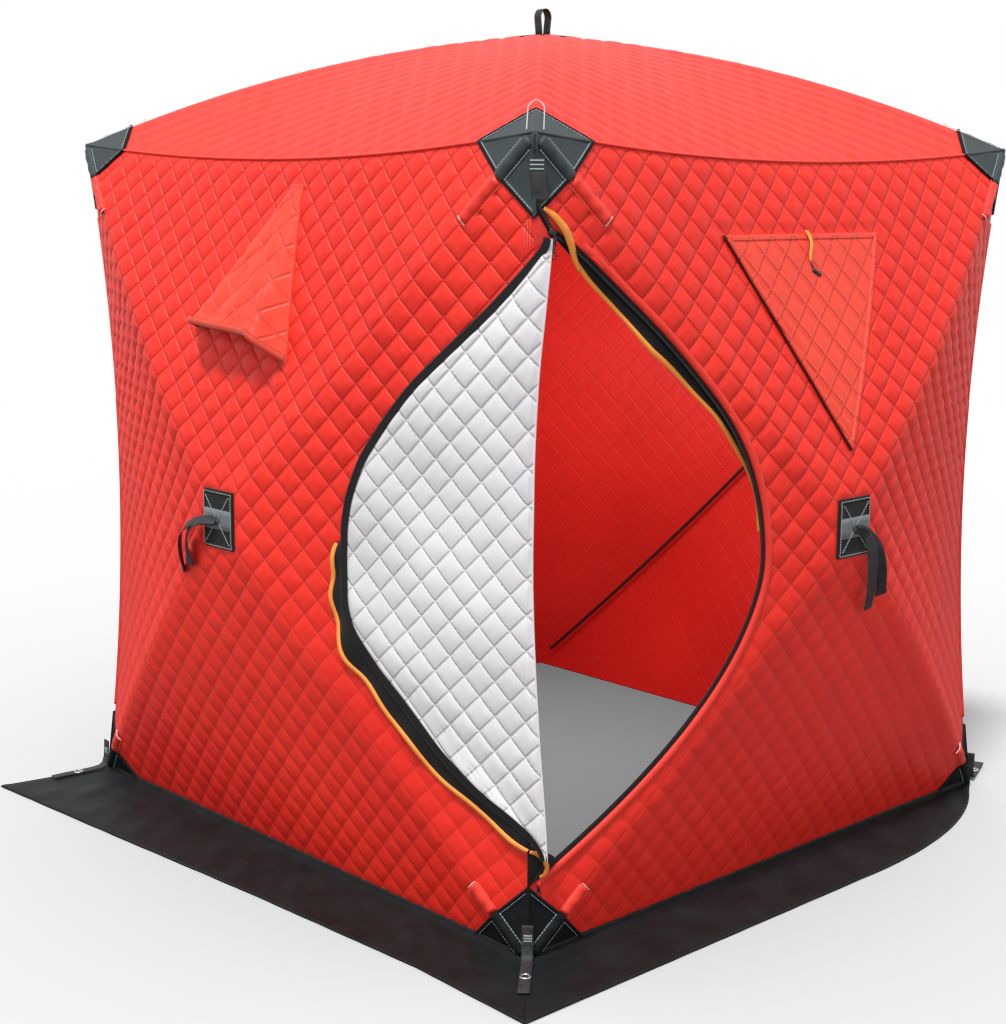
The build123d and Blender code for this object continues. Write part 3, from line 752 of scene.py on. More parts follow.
# Corner reinforcements: a dark patch on each cloth that meets at a corner, hemmed and stitched
def stitches(name, line, normals, length=0.0055, gap=0.0035, width=0.0012, lift=0.0008):
    """Short raised threads along a line of points."""
    line = np.asarray(line, float)
    steps = np.concatenate([[0], np.cumsum(np.linalg.norm(np.diff(line, axis=0), axis=1))])
    starts = np.arange(0.002, steps[-1] - length, length + gap)

    def at(values, source):
        return np.stack([np.interp(values, steps, source[:, k]) for k in range(3)], axis=-1)

    a, b = at(starts, line), at(starts + length, line)
    up = unit(at(starts + length / 2, np.asarray(normals, float)))
    side = unit(np.cross(b - a, up)) * width / 2
    corners = [a - side, a + side, b + side, b - side]
    low = np.stack([c - up * lift * 0.4 for c in corners], axis=1)
    high = np.stack([c + up * lift for c in corners], axis=1)
    verts = np.concatenate([low, high], axis=1).reshape(-1, 3)
    box = [(4, 5, 6, 7), (0, 1, 5, 4), (1, 2, 6, 5), (2, 3, 7, 6), (3, 0, 4, 7)]
    faces = [tuple(i * 8 + k for k in f) for i in range(len(starts)) for f in box]
    return make_mesh(name, verts, faces, smooth=False)


def raised(net, flat, lift):
    x, y = flat[..., 0] / FLAT, flat[..., 1] / FLAT
    p, n = skin_and_normal(net, np.clip(x, -1, 1), np.clip(y, -1, 1))
    return p + n * np.asarray(lift)[..., None], n


def edge_line(net, fixed, axis, count=90, stand=0.0, start=-1.0, end=1.0):
    run = np.linspace(start, end, count)
    still = np.full(count, fixed)
    x, y = (run, still) if axis == 0 else (still, run)
    p, n = skin_and_normal(net, x, y)
    return p + n * stand, n


def cap_patch(name, net, sx, sy, drop, mat):
    corner = np.array([sx * FLAT, sy * FLAT])
    along = np.array([-sx * CAP_LEG, 0.0])
    down = np.array([0.0, -sy * drop])
    radii = np.array([0.0, 0.15, 0.3, 0.45, 0.6, 0.75, 0.88, 0.945, 0.95, 0.985, 1.0, 1.003])
    lifts = np.array([0.0, 0.0, 0.0, 0.0, 0.0, 0.0, 0.0, 0.0, 0.0022, 0.0022, 0.0012, -0.0035]) + 0.0012
    share = np.linspace(0, 1, 25)
    flat = corner + radii[:, None, None] * ((1 - share)[None, :, None] * along + share[None, :, None] * down)
    wrinkle = 0.0010 * np.sin(flat[..., 0] * 190 + flat[..., 1] * 120) * (radii[:, None] < 0.9)
    points, _ = raised(net, flat, lifts[:, None] + wrinkle)
    mirrored = sx * sy > 0
    cloth_piece = paint(grid_mesh(name, points, flat, flip=not mirrored), mat)
    band = np.array([0.946, 0.95, 0.975, 1.001, 1.006])
    flat = corner + band[:, None, None] * ((1 - share)[None, :, None] * along + share[None, :, None] * down)
    lifts = np.array([0.0030, 0.0044, 0.0046, 0.0032, -0.003])
    points, _ = raised(net, flat, lifts[:, None] + 0.0004 * np.sin(share * 70)[None, :])
    hem = paint(grid_mesh(f"{name}_hem", points, flat, flip=not mirrored), CAP_BLACK_AND_SHADE)
    line = corner + 0.930 * ((1 - share)[:, None] * along + share[:, None] * down)
    p, n = raised(net, line, np.full(len(line), 0.0018))
    return [cloth_piece, hem], [paint(stitches(f"{name}_thread", p, n, 0.0065, 0.0018, 0.0011, 0.0008),
                                      THREAD)]


for name, (sx, sy) in CAPS.items():
    across = {"front": sx, "right": sy, "back": -sx, "left": -sy}
    sides = ["front" if sy < 0 else "back", "right" if sx > 0 else "left"]
    # Lower patches take the near-black cloth as painted shade; the upper ones stay slate.
    for level in ("top", "bottom"):
        sheets, threads = [], []
        for side in sides:
            made = cap_patch(f"{name}_{level}_{side}", wall_net(TURN[side]), across[side],
                             1 if level == "top" else -1, CAP_DROP, SLATE if level == "top" else CAP_BLACK_AND_SHADE)
            sheets += made[0]
            threads += made[1]
        if level == "top":
            made = cap_patch(f"{name}_{level}_roof", roof_net(), sx, sy, CAP_LEG, SLATE)
            sheets += made[0]
            threads += made[1]
        mat = SLATE if level == "top" else CAP_BLACK_AND_SHADE
        for side in sides:
            net, edge = wall_net(TURN[side]), across[side]
            inner_end = 1 - (CAP_LEG - 0.004) / FLAT
            if level == "top":
                line, _ = edge_line(net, 1.0, 0, 24, 0.0005, edge * inner_end, edge)
                sheets.append(paint(tube("cap_seam", line, 0.0034), mat))
        end = 1 if level == "top" else -1
        line, _ = edge_line(net, across[sides[1]], 1, 30, 0.0, end * (1 - (CAP_DROP - 0.002) / FLAT), end)
        sheets.append(paint(tube("cap_corner", line, 0.0050), mat))
        cap = join(f"{name}_{level}_reinforcement", sheets)
        thread = join(f"{name}_{level}_stitching", threads)
        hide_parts(f"{name}_{level}_cap")
        cloth(cap, "tent", "corner_cloth", (0.30, 0.30), "stretched")
        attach(thread, "tent")


# Seams: the roof's welt, the corner seams and the black hem along the ground
welts, hems = [], []
for side, turn in TURN.items():
    net = wall_net(turn)
    line, _ = edge_line(net, 1.0, 0, stand=0.001, start=-0.8, end=0.8)
    welts.append(paint(tube(f"{side}_welt", line, 0.0026), HEM_RED))
    across = np.linspace(-1, 1, 120)
    ups = np.array([-1.0, -0.9995, -0.990, -0.981, -0.9805])
    lifts = np.array([-0.003, 0.003, 0.0042, 0.0036, -0.002])
    flat = np.stack(np.meshgrid(across * FLAT, ups * FLAT, indexing="xy"), axis=-1)
    points, _ = raised(net, flat, lifts[:, None] + 0.0006 * np.sin(across * 70)[None, :])
    hems.append(paint(grid_mesh(f"{side}_hem", points, flat), BLACK))
for side, fixed in (("left", 1.0), ("back", 1.0), ("right", 1.0)):
    line, _ = edge_line(wall_net(TURN[side]), fixed, 1, start=-0.78, end=0.78)
    welts.append(paint(tube(f"{side}_corner_seam", line, 0.0030), RED))
seams = join("seam_welts", welts)
hem = join("wall_hems", hems)
for obj in (seams, hem):
    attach(obj, "tent")


# Windows: a quilted cover with turned hems over a raised band, and a black strip along its left edge, part
# dark fastening strip and part painted shadow of the gap under the edge
def triangle_sheet(points, rows, columns):
    """Grid over a triangle: rows from its top side to its tip."""
    left, tip, right = (np.array(p, float) for p in points)
    down = np.linspace(0, 1, rows)[:, None, None]
    share = np.linspace(0, 1, columns)[None, :, None]
    start = left + (tip - left) * down
    end = right + (tip - right) * down
    return start + (end - start) * share


WINDOW = ((-0.322, 1.560), (0.011, 1.060), (0.248, 1.560))


def inset(points, gap):
    """A triangle with each side moved in by gap."""
    pts = np.array(points, float)
    size = np.array([np.linalg.norm(pts[(i + 1) % 3] - pts[(i + 2) % 3]) for i in range(3)])
    centre = (pts * size[:, None]).sum(axis=0) / size.sum()
    (ax, ay), (bx, by), (cx, cy) = pts
    area = abs((bx - ax) * (cy - ay) - (cx - ax) * (by - ay)) / 2
    return centre + (pts - centre) * (1 - gap / (2 * area / size.sum()))


def band_between(name, turn, outer, inner, stand, count=40):
    """A flat raised band between two nested triangles."""
    made = []
    for i in range(3):
        j = (i + 1) % 3
        share = np.linspace(0, 1, count)[:, None]
        outside = outer[i] + (outer[j] - outer[i]) * share
        inside = inner[i] + (inner[j] - inner[i]) * share
        rows = [outside, outside, outside * 0.85 + inside * 0.15, outside * 0.15 + inside * 0.85, inside,
                inside]
        lifts = [stand - 0.006, stand - 0.0006, stand + 0.0008, stand + 0.0008, stand - 0.0006, stand - 0.004]
        grid = np.stack(rows)
        points = on_wall(turn, grid[..., 0], grid[..., 1], np.array(lifts)[:, None] + 0 * grid[..., 0])
        made.append(grid_mesh(f"{name}_{i}", points, grid))
    return join(name, made)


for side in ("right", "left"):
    turn = TURN[side]
    body = triangle_sheet(inset(WINDOW, 0.010), 64, 52)
    flat = body.copy()
    edge = -near_triangle(body.reshape(-1, 2), inset(WINDOW, 0.010), 0.0).reshape(body.shape[:2])
    high = pillow(flat + 0.01) * fade(edge, 0.018)
    cover = paint(grid_mesh(f"{side}_window_quilt", on_wall(turn, body[..., 0], body[..., 1],
                                                          0.0035 + 0.0035 * high), flat), ORANGE_RED)
    band = paint(band_between(f"{side}_window_band", turn, np.array(WINDOW), inset(WINDOW, 0.013), 0.0055),
                 ORANGE_RED)
    inner = inset(WINDOW, 0.0105)
    lines = []
    for i in range(3):
        share = np.linspace(0, 1, 60)[:, None]
        line = inner[i] + (inner[(i + 1) % 3] - inner[i]) * share
        p = on_wall(turn, line[:, 0], line[:, 1], np.full(60, 0.0066))
        normal = np.tile(world(turn, 0, 0.2, 1), (60, 1))
        lines.append(paint(stitches("hem", p, normal, 0.004, 0.003, 0.001, 0.0006), RED_THREAD))
    # A black strip along the cover's left edge: partly its dark fastening strip, partly painted shadow of the
    # gap where the edge lifts off the wall.
    share = np.linspace(0, 1, 40)
    gap = np.array(WINDOW[0]) + (np.array(WINDOW[1]) - np.array(WINDOW[0])) * share[:, None]
    slot = tube("slot", on_wall(turn, gap[:, 0] - 0.003, gap[:, 1], 0.0024 + 0.0010 * np.sin(share * 21)),
                0.0021)
    shadow = paint(slot, BLACK)
    cover = join(f"{side}_window_flap", [cover, band, shadow])
    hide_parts(f"{side}_window_cover")
    cloth(cover, "tent", "quilted_fabric", (0.62, 0.54))
    thread = join(f"{side}_window_stitching", lines)
    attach(thread, "tent")


# Pole sleeves: a raised tunnel out of each corner along the wall's diagonal, stitched along both sides
SLEEVE_HALF = 0.0175
SLEEVE_CHANGE = 0.126  # from the cap's cloth to the wall's


def diagonal_line(sx, sy, run, offset=0.0):
    """Flat places along a wall's diagonal from a corner, beside it by an offset."""
    along = FLAT - run / math.sqrt(2)
    return np.stack([sx * (along + offset / math.sqrt(2)), sy * (along - offset / math.sqrt(2))], axis=-1)


def sleeve(name, net, sx, sy, start, end, mat, wide=0.0150, high=0.0090):
    """A raised tunnel for a pole, along a wall's diagonal from a corner."""
    run = np.linspace(start, end, 30)
    angle = np.linspace(0, math.pi, 9)
    ends = np.clip(np.minimum((run - start) / 0.006, (end - run) / 0.008), 0, 1) ** 0.5
    ends = np.maximum(ends, 0.15)
    side = np.cos(angle)[:, None] * wide * (0.75 + 0.25 * ends)[None, :]
    rise = np.sin(angle)[:, None] * high * (ends * (1 + 0.10 * np.sin(run * 160)))[None, :] - 0.001
    flat = diagonal_line(sx, sy, run[None, :], side)
    points, _ = raised(net, flat, rise + 0.0022)
    return paint(grid_mesh(name, points, flat, flip=sx * sy < 0), mat)


sleeve_threads, sleeves = [], []
for side, turn in TURN.items():
    net = wall_net(turn)
    for sx in (-1, 1):
        # Lower sleeves start in the near-black painted shade of the lower caps; upper ones start in slate.
        for sy, end, mat in ((1, 0.250, SLATE), (-1, 0.205, CAP_BLACK_AND_SHADE)):
            sleeves.append(sleeve(f"{side}_sleeve", net, sx, sy, 0.018, 0.127, mat))
            sleeves.append(sleeve(f"{side}_sleeve", net, sx, sy, 0.128, end, HEM_RED))
            run = np.linspace(0.030, end, 60)
            inner = int(np.sum(run < SLEEVE_CHANGE))
            for offset in (-SLEEVE_HALF, SLEEVE_HALF):
                p, n = raised(net, diagonal_line(sx, sy, run, offset), np.full(60, 0.0034))
                sleeve_threads.append(paint(stitches("sleeve", p[:inner], n[:inner], 0.006, 0.002, 0.001),
                                            THREAD))
                sleeve_threads.append(paint(stitches("sleeve", p[inner:], n[inner:], 0.006, 0.002, 0.001),
                                            RED_THREAD))
            cross = np.linspace(-SLEEVE_HALF, SLEEVE_HALF, 12)
            p, n = raised(net, diagonal_line(sx, sy, np.full(12, end), cross), np.full(12, 0.0036))
            sleeve_threads.append(paint(stitches("sleeve_end", p, n, 0.005, 0.001, 0.0018, 0.0012),
                                        PALE_THREAD))
for sx, sy in CAPS.values():
    lean = np.array([[-0.015, 0.020], [-0.015, 0.148], [-0.010, 0.162], [0.0, 0.168],
                     [0.010, 0.162], [0.015, 0.148], [0.015, 0.020]])
    dense = np.stack([np.interp(np.linspace(0, 6, 60), np.arange(7), lean[:, k]) for k in (0, 1)], axis=-1)
    inward, beside = np.array([-sx, -sy]) / math.sqrt(2), np.array([-sy, sx]) / math.sqrt(2)
    line = np.array([sx, sy]) * FLAT + dense[:, :1] * beside + dense[:, 1:] * inward
    p, n = raised(roof_net(), line, np.full(60, 0.0062))
    sleeve_threads.append(paint(stitches("roof_stitch", p, n, 0.006, 0.002, 0.0014, 0.0010), PALE_THREAD))
outlines = join("pocket_stitching", sleeve_threads)
tunnels = join("pole_sleeves", sleeves)
for obj in (outlines, tunnels):
    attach(obj, "tent")


# Vent hoods: a quilted awning over a mesh screen, open at its bottom edge
HOOD_TOP = (0.088, 1.666)
HOOD_LEFT = (-0.190, 1.326)
HOOD_RIGHT = (0.182, 1.262)
HOOD_STAND = 0.070


def hood_grid(turn, rows, columns, stand):
    """Grid over the hood: rows from its tip down, columns across; it bellies out towards its bottom."""
    down = np.linspace(0.0, 1.0, rows)[:, None]
    share = np.linspace(0.0, 1.0, columns)[None, :]
    top_left = np.array(HOOD_TOP) + (-0.016, 0)
    top_right = np.array(HOOD_TOP) + (0.016, 0)
    left = top_left + (np.array(HOOD_LEFT) - top_left) * down[..., None] * np.ones_like(share)[..., None]
    right = top_right + (np.array(HOOD_RIGHT) - top_right) * down[..., None] * np.ones_like(share)[..., None]
    flat = left + (right - left) * share[..., None]
    flat[..., 1] += np.minimum(0.039 * share, 0.155 * (1 - share)) * down**3
    belly = HOOD_STAND * down**1.25 * fade(share, 0.22) ** 0.7 * fade(1 - share, 0.18) ** 0.8
    ripple = 0.0035 * down * np.sin(share * 19.0 + 0.7 + 4 * down)
    ripple = ripple + 0.003 * down * np.sin(down * 23 - 9 * share)
    ripple = ripple * np.sin(math.pi * share)
    return flat, on_wall(turn, flat[..., 0], flat[..., 1], stand + belly + ripple)


def hem_band(name, line, inward, outward, width, thick, material_):
    """A folded hem along an edge: a flat band that wraps the edge."""
    rows = [line + inward * width + outward * 0.0, line + inward * width + outward * thick,
            line + inward * width * 0.5 + outward * thick * 1.25, line + outward * thick,
            line - inward * 0.0015 - outward * thick * 0.5, line - outward * thick * 2.2,
            line + inward * width - outward * thick * 2.2]
    return paint(grid_mesh(name, np.stack(rows)), material_)


for side in ("front", "back"):
    turn = TURN[side]
    flat, under = hood_grid(turn, 40, 44, 0.0016)
    edge = np.minimum.reduce([flat[..., 0] - flat[:, :1, 0], flat[:, -1:, 0] - flat[..., 0]])
    rows = np.linspace(0, 1, 40)[:, None]
    flange = flat[:, -1:, 0] - flat[..., 0]
    low_band = (1 - rows) * 0.36
    high = pillow(flat + 0.004) * fade(edge, 0.016)
    high = high * fade(flange - 0.030, 0.012) * fade(low_band - 0.034, 0.012)
    high = high + 0.55 * fade(0.030 - flange, 0.010) * fade(flange, 0.008)
    high = high + 0.5 * fade(0.034 - low_band, 0.012)
    _, over = hood_grid(turn, 40, 44, 0.0052)
    way = unit(over - under)
    over = over + way * (0.0050 * high)[..., None]
    outer = paint(grid_mesh(f"{side}_hood_quilt", over, flat, flip=True), ORANGE_RED)
    inner = paint(grid_mesh(f"{side}_hood_inside", under, flat), LINING_RED)
    bottom = hem_band(f"{side}_hood_hem", over[-1], np.array([0, 0, 1.0]), world(turn, 0, 0, 1), 0.016,
                      0.0016, ORANGE_RED)
    rims = []
    for column, lean in ((0, 1), (-1, -1)):
        line = over[:, column]
        grid = np.stack([under[:, column] - way[:, column] * 0.004, line + way[:, column] * 0.0015,
                         line + way[:, column] * 0.0022 + world(turn, lean * 0.007, 0, 0),
                         line + way[:, column] * 0.0004 + world(turn, lean * 0.012, 0, 0)])
        rims.append(paint(grid_mesh("rim", grid), ORANGE_RED))
    hood = join(f"{side}_hood", [outer, inner, bottom] + rims)
    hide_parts(f"{side}_vent_hood")
    cloth(hood, "tent", "quilted_fabric", (0.50, 0.48), layers=2)
    seams = []
    for row in (-5, -3):
        low = over[row, :] + way[row, :] * 0.0010
        seams.append(paint(stitches("low", low, way[row], 0.004, 0.003, 0.001, 0.0006), RED_THREAD))
    line = join(f"{side}_hood_stitching", seams)
    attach(line, "tent")
    brim = paint(tube(f"{side}_hood_stiffener", under[-1] - way[-1] * 0.003, 0.0022), BLACK)
    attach(brim, "tent")

# Doorway: zip tape with its coil, the storm flap inside the upper half and its orange binding
SLOPE = math.atan2(HUB_REACH - HALF_SIDE, HALF_SIDE - HUB_HALF)
CORNER = np.array([HALF_SIDE, -HALF_SIDE, 0.0])
RIGHT_ALONG = np.array([math.sin(SLOPE), math.cos(SLOPE), 0.0])
RIGHT_OUT = np.array([math.cos(SLOPE), -math.sin(SLOPE), 0.0])
FRONT_ALONG = np.array([-math.cos(SLOPE), -math.sin(SLOPE), 0.0])
FRONT_OUT = np.array([math.sin(SLOPE), -math.cos(SLOPE), 0.0])
RISE = np.array([0.0, 0.0, 1.0])


def at_door(along, s, z, out):
    """Points beside the front right corner: s along a facet, z up and out from its face."""
    way, outward = (RIGHT_ALONG, RIGHT_OUT) if along == "right" else (FRONT_ALONG, FRONT_OUT)
    s, z, out = np.broadcast_arrays(np.asarray(s, float), np.asarray(z, float), np.asarray(out, float))
    return CORNER + way * s[..., None] + RISE * z[..., None] + outward * out[..., None]


def doorway_edge(count=160, low=-0.985, high=0.985):
    """s and z along the doorway's cut edge, from its bottom to its top, and the way into the wall."""
    w = np.sin(np.linspace(math.asin(low), math.asin(high), count))
    z = DOOR_MIDDLE + DOOR_HALF * w
    s = doorway_s(z)
    ds = np.gradient(s)
    dz = np.gradient(z)
    size = np.hypot(ds, dz)
    return s, z, dz / size, -ds / size


def ribbon(name, along, s, z, ns, nz, profile, mat):
    """A band along an edge, from a profile of distances across and out."""
    rows = [at_door(along, s + ns * a, z + nz * a, out) for a, out in profile]
    return paint(grid_mesh(name, np.stack(rows)), mat)


def coil(name, along, s, z, ns, nz, shift, out, mat, pitch=0.0032):
    """The teeth of a zip: small blocks along a line."""
    line = at_door(along, s + ns * shift, z + nz * shift, out)
    normal = np.tile(RIGHT_OUT if along == "right" else FRONT_OUT, (len(line), 1))
    return paint(stitches(name, line, normal, pitch * 0.55, pitch * 0.45, 0.0045, 0.0012), mat)


s, z, ns, nz = doorway_edge()
binding = ribbon("doorway_binding", "right", s, z, ns, nz,
                 [(0.016, 0.001), (0.015, 0.0034), (0.008, 0.0042), (0.0005, 0.0034), (-0.0015, 0.0),
                  (-0.0015, -0.0075), (0.012, -0.0085)], HEM_RED)
tape = ribbon("doorway_tape", "right", s, z, ns, nz,
              [(0.002, -0.0022), (-0.013, -0.0024), (-0.0135, -0.0036), (0.002, -0.0040)], BLACK)
teeth = coil("doorway_teeth", "right", s, z, ns, nz, -0.0115, -0.0022, PLASTIC)
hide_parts("doorway_zip_tape")
for obj, slot in ((binding, "quilted_fabric"), (tape, "zip_tape"), (teeth, "zip_tape")):
    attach(obj, "tent")

def zip_end(name, run_s, run_z, half, offset):
    """Black tape that closes the doorway's zip on the tent, and the line along it for its teeth."""
    t = np.linspace(0, 1, 16)
    s, z = run_s[0] + (run_s[1] - run_s[0]) * t, run_z[0] + (run_z[1] - run_z[0]) * t
    width = half[0] + (half[1] - half[0]) * t
    band = [at_door("right", s, z + width * a, offset + out) for a, out in
            ((-1.0, -0.003), (-0.96, 0.0), (0.96, 0.0), (1.0, -0.003))]
    return paint(grid_mesh(name, np.stack(band)), BLACK), at_door("right", s, z, offset + 0.0012)


upper, upper_line = zip_end("zip_end_top", (0.003, 0.050), (1.632, 1.556), (0.013, 0.011), 0.0046)
lower, lower_line = zip_end("zip_end_bottom", (-0.005, 0.062), (0.220, 0.223), (0.052, 0.008), 0.0045)
lower_line = at_door("right", np.linspace(0.010, 0.048, 16), np.linspace(0.184, 0.236, 16), 0.0064)
teeth = [paint(stitches("zip_end_teeth", line, np.tile(RIGHT_OUT, (16, 1)), 0.0018, 0.0014, 0.0050, 0.0012),
               PLASTIC)
         for line in (upper_line, lower_line)]
rows = []
for s0 in (0.007, 0.013, 0.019):
    line = at_door("front", np.full(20, s0), np.linspace(1.600, 1.545, 20), 0.0044)
    rows.append(paint(stitches("row", line, np.tile(FRONT_OUT, (20, 1)), 0.003, 0.002, 0.001, 0.0008),
                      RED_THREAD))
zip_ends = join("doorway_zip_ends", [upper, lower] + teeth + rows)
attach(zip_ends, "tent")
t = np.linspace(0, 1, 12)
rows = [at_door("right", 0.052 * t - 0.001, 1.585 - 0.012 * t + (0.040 * (1 - t) + 0.003) * a,
                0.0022 - 0.002 * abs(a))
        for a in (-1.0, -0.5, 0.0, 0.5, 1.0)]
turn_in = paint(grid_mesh("doorway_corner_cloth", np.stack(rows)), HEM_RED)
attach(turn_in, "tent")

STORM_Z = (0.900, 0.960, 1.030, 1.100, 1.160, 1.207, 1.349, 1.430, 1.500, 1.550, 1.600)
STORM_GAP = (0.003, 0.004, 0.007, 0.013, 0.022, 0.027, 0.041, 0.038, 0.031, 0.022, 0.006)


def storm_width(z):
    return np.interp(z, STORM_Z, STORM_GAP)


s, z, ns, nz = doorway_edge(120, 0.02, 0.985)
width = storm_width(z) * (1 + 0.04 * np.sin(z * 47) + 0.03 * np.sin(z * 23 + 1))
share = np.linspace(0, 1, 9)[:, None]
sway = -0.0085 - 0.006 * share + 0.004 * share * np.sin(z * 33)[None, :]
drape = at_door("right", s - ns * (width * share - 0.010 * (1 - share)),
                z - nz * (width * share - 0.010 * (1 - share)), sway)
storm = thicken(paint(grid_mesh("doorway_storm", drape), BLACK), 0.0012)
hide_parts("doorway_storm_flap")
cloth(storm, "tent", "storm_cloth", (0.90, 0.12), "hung", layers=2)
below = z < 1.530
s, z, ns, nz, width = s[below], z[below], ns[below], nz[below], width[below]
edge_s, edge_z = s - ns * width, z - nz * width
twist = 0.5 + 0.5 * np.sin(z * 29 + 0.6)
profile = [(-0.0065, -0.0150), (-0.0065, -0.0132), (0.0, -0.0120), (0.0055, -0.0128), (0.0055, -0.0150)]
rows = [at_door("right", edge_s + ns * a * (0.75 + 0.25 * twist), edge_z + nz * a * (0.75 + 0.25 * twist),
                out + 0.003 * np.sin(z * 33)) for a, out in profile]
piping = paint(grid_mesh("doorway_binding_orange", np.stack(rows)), ORANGE)
def binding_end(name, path, wide):
    """The loose end of an orange binding, along places beside the doorway."""
    t = np.linspace(0, 1, 30)
    path = np.array(path)
    mid = np.stack([np.interp(t, np.linspace(0, 1, len(path)), path[:, k]) for k in range(3)], axis=-1)
    mid[1:-1] = (mid[:-2] + 2 * mid[1:-1] + mid[2:]) / 4
    half = 0.0030 + wide * np.sin(math.pi * np.clip(t * 0.9 + 0.05, 0, 1))
    end_s, end_z = np.gradient(mid[:, 0]), np.gradient(mid[:, 1])
    size = np.hypot(end_s, end_z)
    rows = [at_door("right", mid[:, 0] - end_z / size * half * a, mid[:, 1] + end_s / size * half * a,
                    mid[:, 2] + b)
            for a, b in ((-1, -0.0008), (-0.9, 0.0010), (0, 0.0018), (0.9, 0.0010), (1, -0.0008))]
    return thicken(paint(grid_mesh(name, np.stack(rows)), ORANGE), 0.0012)


tongue = binding_end("doorway_binding_end", (
    (0.018, 1.622, 0.0075), (0.042, 1.606, 0.0110), (0.070, 1.578, 0.0095),
    (0.088, 1.548, 0.0030), (0.101, 1.520, -0.0060), (0.118, 1.492, -0.0125)), 0.0062)
curl = binding_end("door_binding_curl", (
    (-0.004, 0.256, 0.012), (0.012, 0.250, 0.013), (0.034, 0.232, 0.012),
    (0.043, 0.210, 0.009), (0.036, 0.194, 0.008), (0.024, 0.192, 0.0075)), 0.0030)
piping = join("doorway_orange", [piping, tongue, curl])
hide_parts("doorway_storm_piping")
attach(piping, "tent")


# Door flap, folded back round the corner with its pale quilted lining outwards
EDGE_Z = (0.262, 0.285, 0.3245, 0.370, 0.441, 0.529, 0.597, 0.677, 0.738, 0.841,
          0.917, 0.985, 1.0735, 1.158, 1.2326, 1.313, 1.3996, 1.489, 1.530, 1.548)
EDGE_S = (-0.050, -0.030, 0.034, 0.125, 0.220, 0.317, 0.394, 0.462, 0.484, 0.491,
          0.486, 0.467, 0.4285, 0.367, 0.299, 0.205, 0.106, 0.012, -0.030, -0.048)
FOLD_Z = (0.262, 0.378, 0.487, 0.563, 0.716, 0.867, 0.980, 1.114, 1.195, 1.295, 1.413, 1.491, 1.548)
FOLD_S = (0.053, 0.043, 0.032, 0.026, 0.014, 0.008, 0.009, 0.010, 0.014, 0.020, 0.034, 0.042, 0.049)


def flap_edge(z):
    """How far the free edge of the flap is along the front wall."""
    return smooth_at(z, EDGE_Z, EDGE_S, 0.022)


def fold_edge(z):
    """How far the folded edge of the flap reaches past the corner."""
    return smooth_at(z, FOLD_Z, FOLD_S, 0.05)


def flap_points(s, z, stand):
    """Cloth of the flap at a place along the front wall, lying off it."""
    spill = fold_edge(z)
    share = (s + spill) / (np.maximum(flap_edge(z), -spill + 0.002) + spill)
    sag = 0.003 * np.sin(z * 9.5 + 3.1 * share) + 0.0035 * np.sin(z * 21 - 7 * share) * share
    curl = 0.0035 * np.exp(-((s + spill) / 0.010) ** 2)
    lift = stand + sag * fade(s + spill, 0.05) - curl + 0.006 * share * (1 - share)
    return at_door("front", s, z, np.maximum(lift, 0.003))


def flap_cloth(name, start, end, heights, columns):
    """A stretch of the flap from one line to another: its pale lining outwards, its red cloth behind."""
    share, z = np.meshgrid(np.linspace(0, 1, columns), heights, indexing="xy")
    s = start(z) + (end(z) - start(z)) * share
    flat = np.stack([s, z], axis=-1)
    beside = np.minimum(fade(flap_edge(z) - s - 0.004, 0.014), fade(s + fold_edge(z), 0.012))
    high = (pillow(flat) * beside)[..., None]
    outside = flap_points(s, z, 0.0155) + FRONT_OUT * (0.0060 * high - 0.001)
    inside = flap_points(s, z, 0.0105) - FRONT_OUT * 0.0030 * high
    pale = paint(grid_mesh(f"{name}_lining", outside, flat, flip=True), WHITE)
    red = paint(grid_mesh(f"{name}_outer", inside, flat), RED)
    # The strength attribute sets how much painted crease shade the flap's red cloth takes.
    red.data.attributes.new("strength", "FLOAT", "POINT").data.foreach_set("value", np.full(share.size, 0.7))
    return [pale, red], inside, outside


# The flap turns about the corner, and what hangs past the corner stays with the tent
CORNER_LINE = -0.002
FLAP_LOW, FLAP_HIGH = 0.3035, 1.5005
heights = FLAP_BOTTOM + (FLAP_TOP - FLAP_BOTTOM) * np.linspace(0.001, 0.999, 150)
panel, _, _ = flap_cloth("door", lambda z: np.full(z.shape, CORNER_LINE),
                         lambda z: np.maximum(flap_edge(z), 0.0),
                         np.linspace(FLAP_LOW, FLAP_HIGH, 150), 60)
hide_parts("door_flap")
for obj in panel:
    cloth(obj, "door", "quilted_fabric", (1.42, 0.62), "hung")
past, inside, outside = flap_cloth("door_fold", lambda z: -fold_edge(z),
                                   lambda z: np.clip(flap_edge(z), 0.002 - fold_edge(z), CORNER_LINE),
                                   heights, 9)
roll = np.stack([inside[:, 0], inside[:, 0] + FRONT_OUT * 0.002 - FRONT_ALONG * 0.003,
                 outside[:, 0] - FRONT_ALONG * 0.003, outside[:, 0]])
hem = paint(grid_mesh("door_fold_hem", roll), WHITE_HEM)
for obj in (join("door_fold_cloth", [past[0], hem]), past[1]):
    cloth(obj, "tent", "quilted_fabric", (1.30, 0.06), "hung")
    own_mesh(obj)

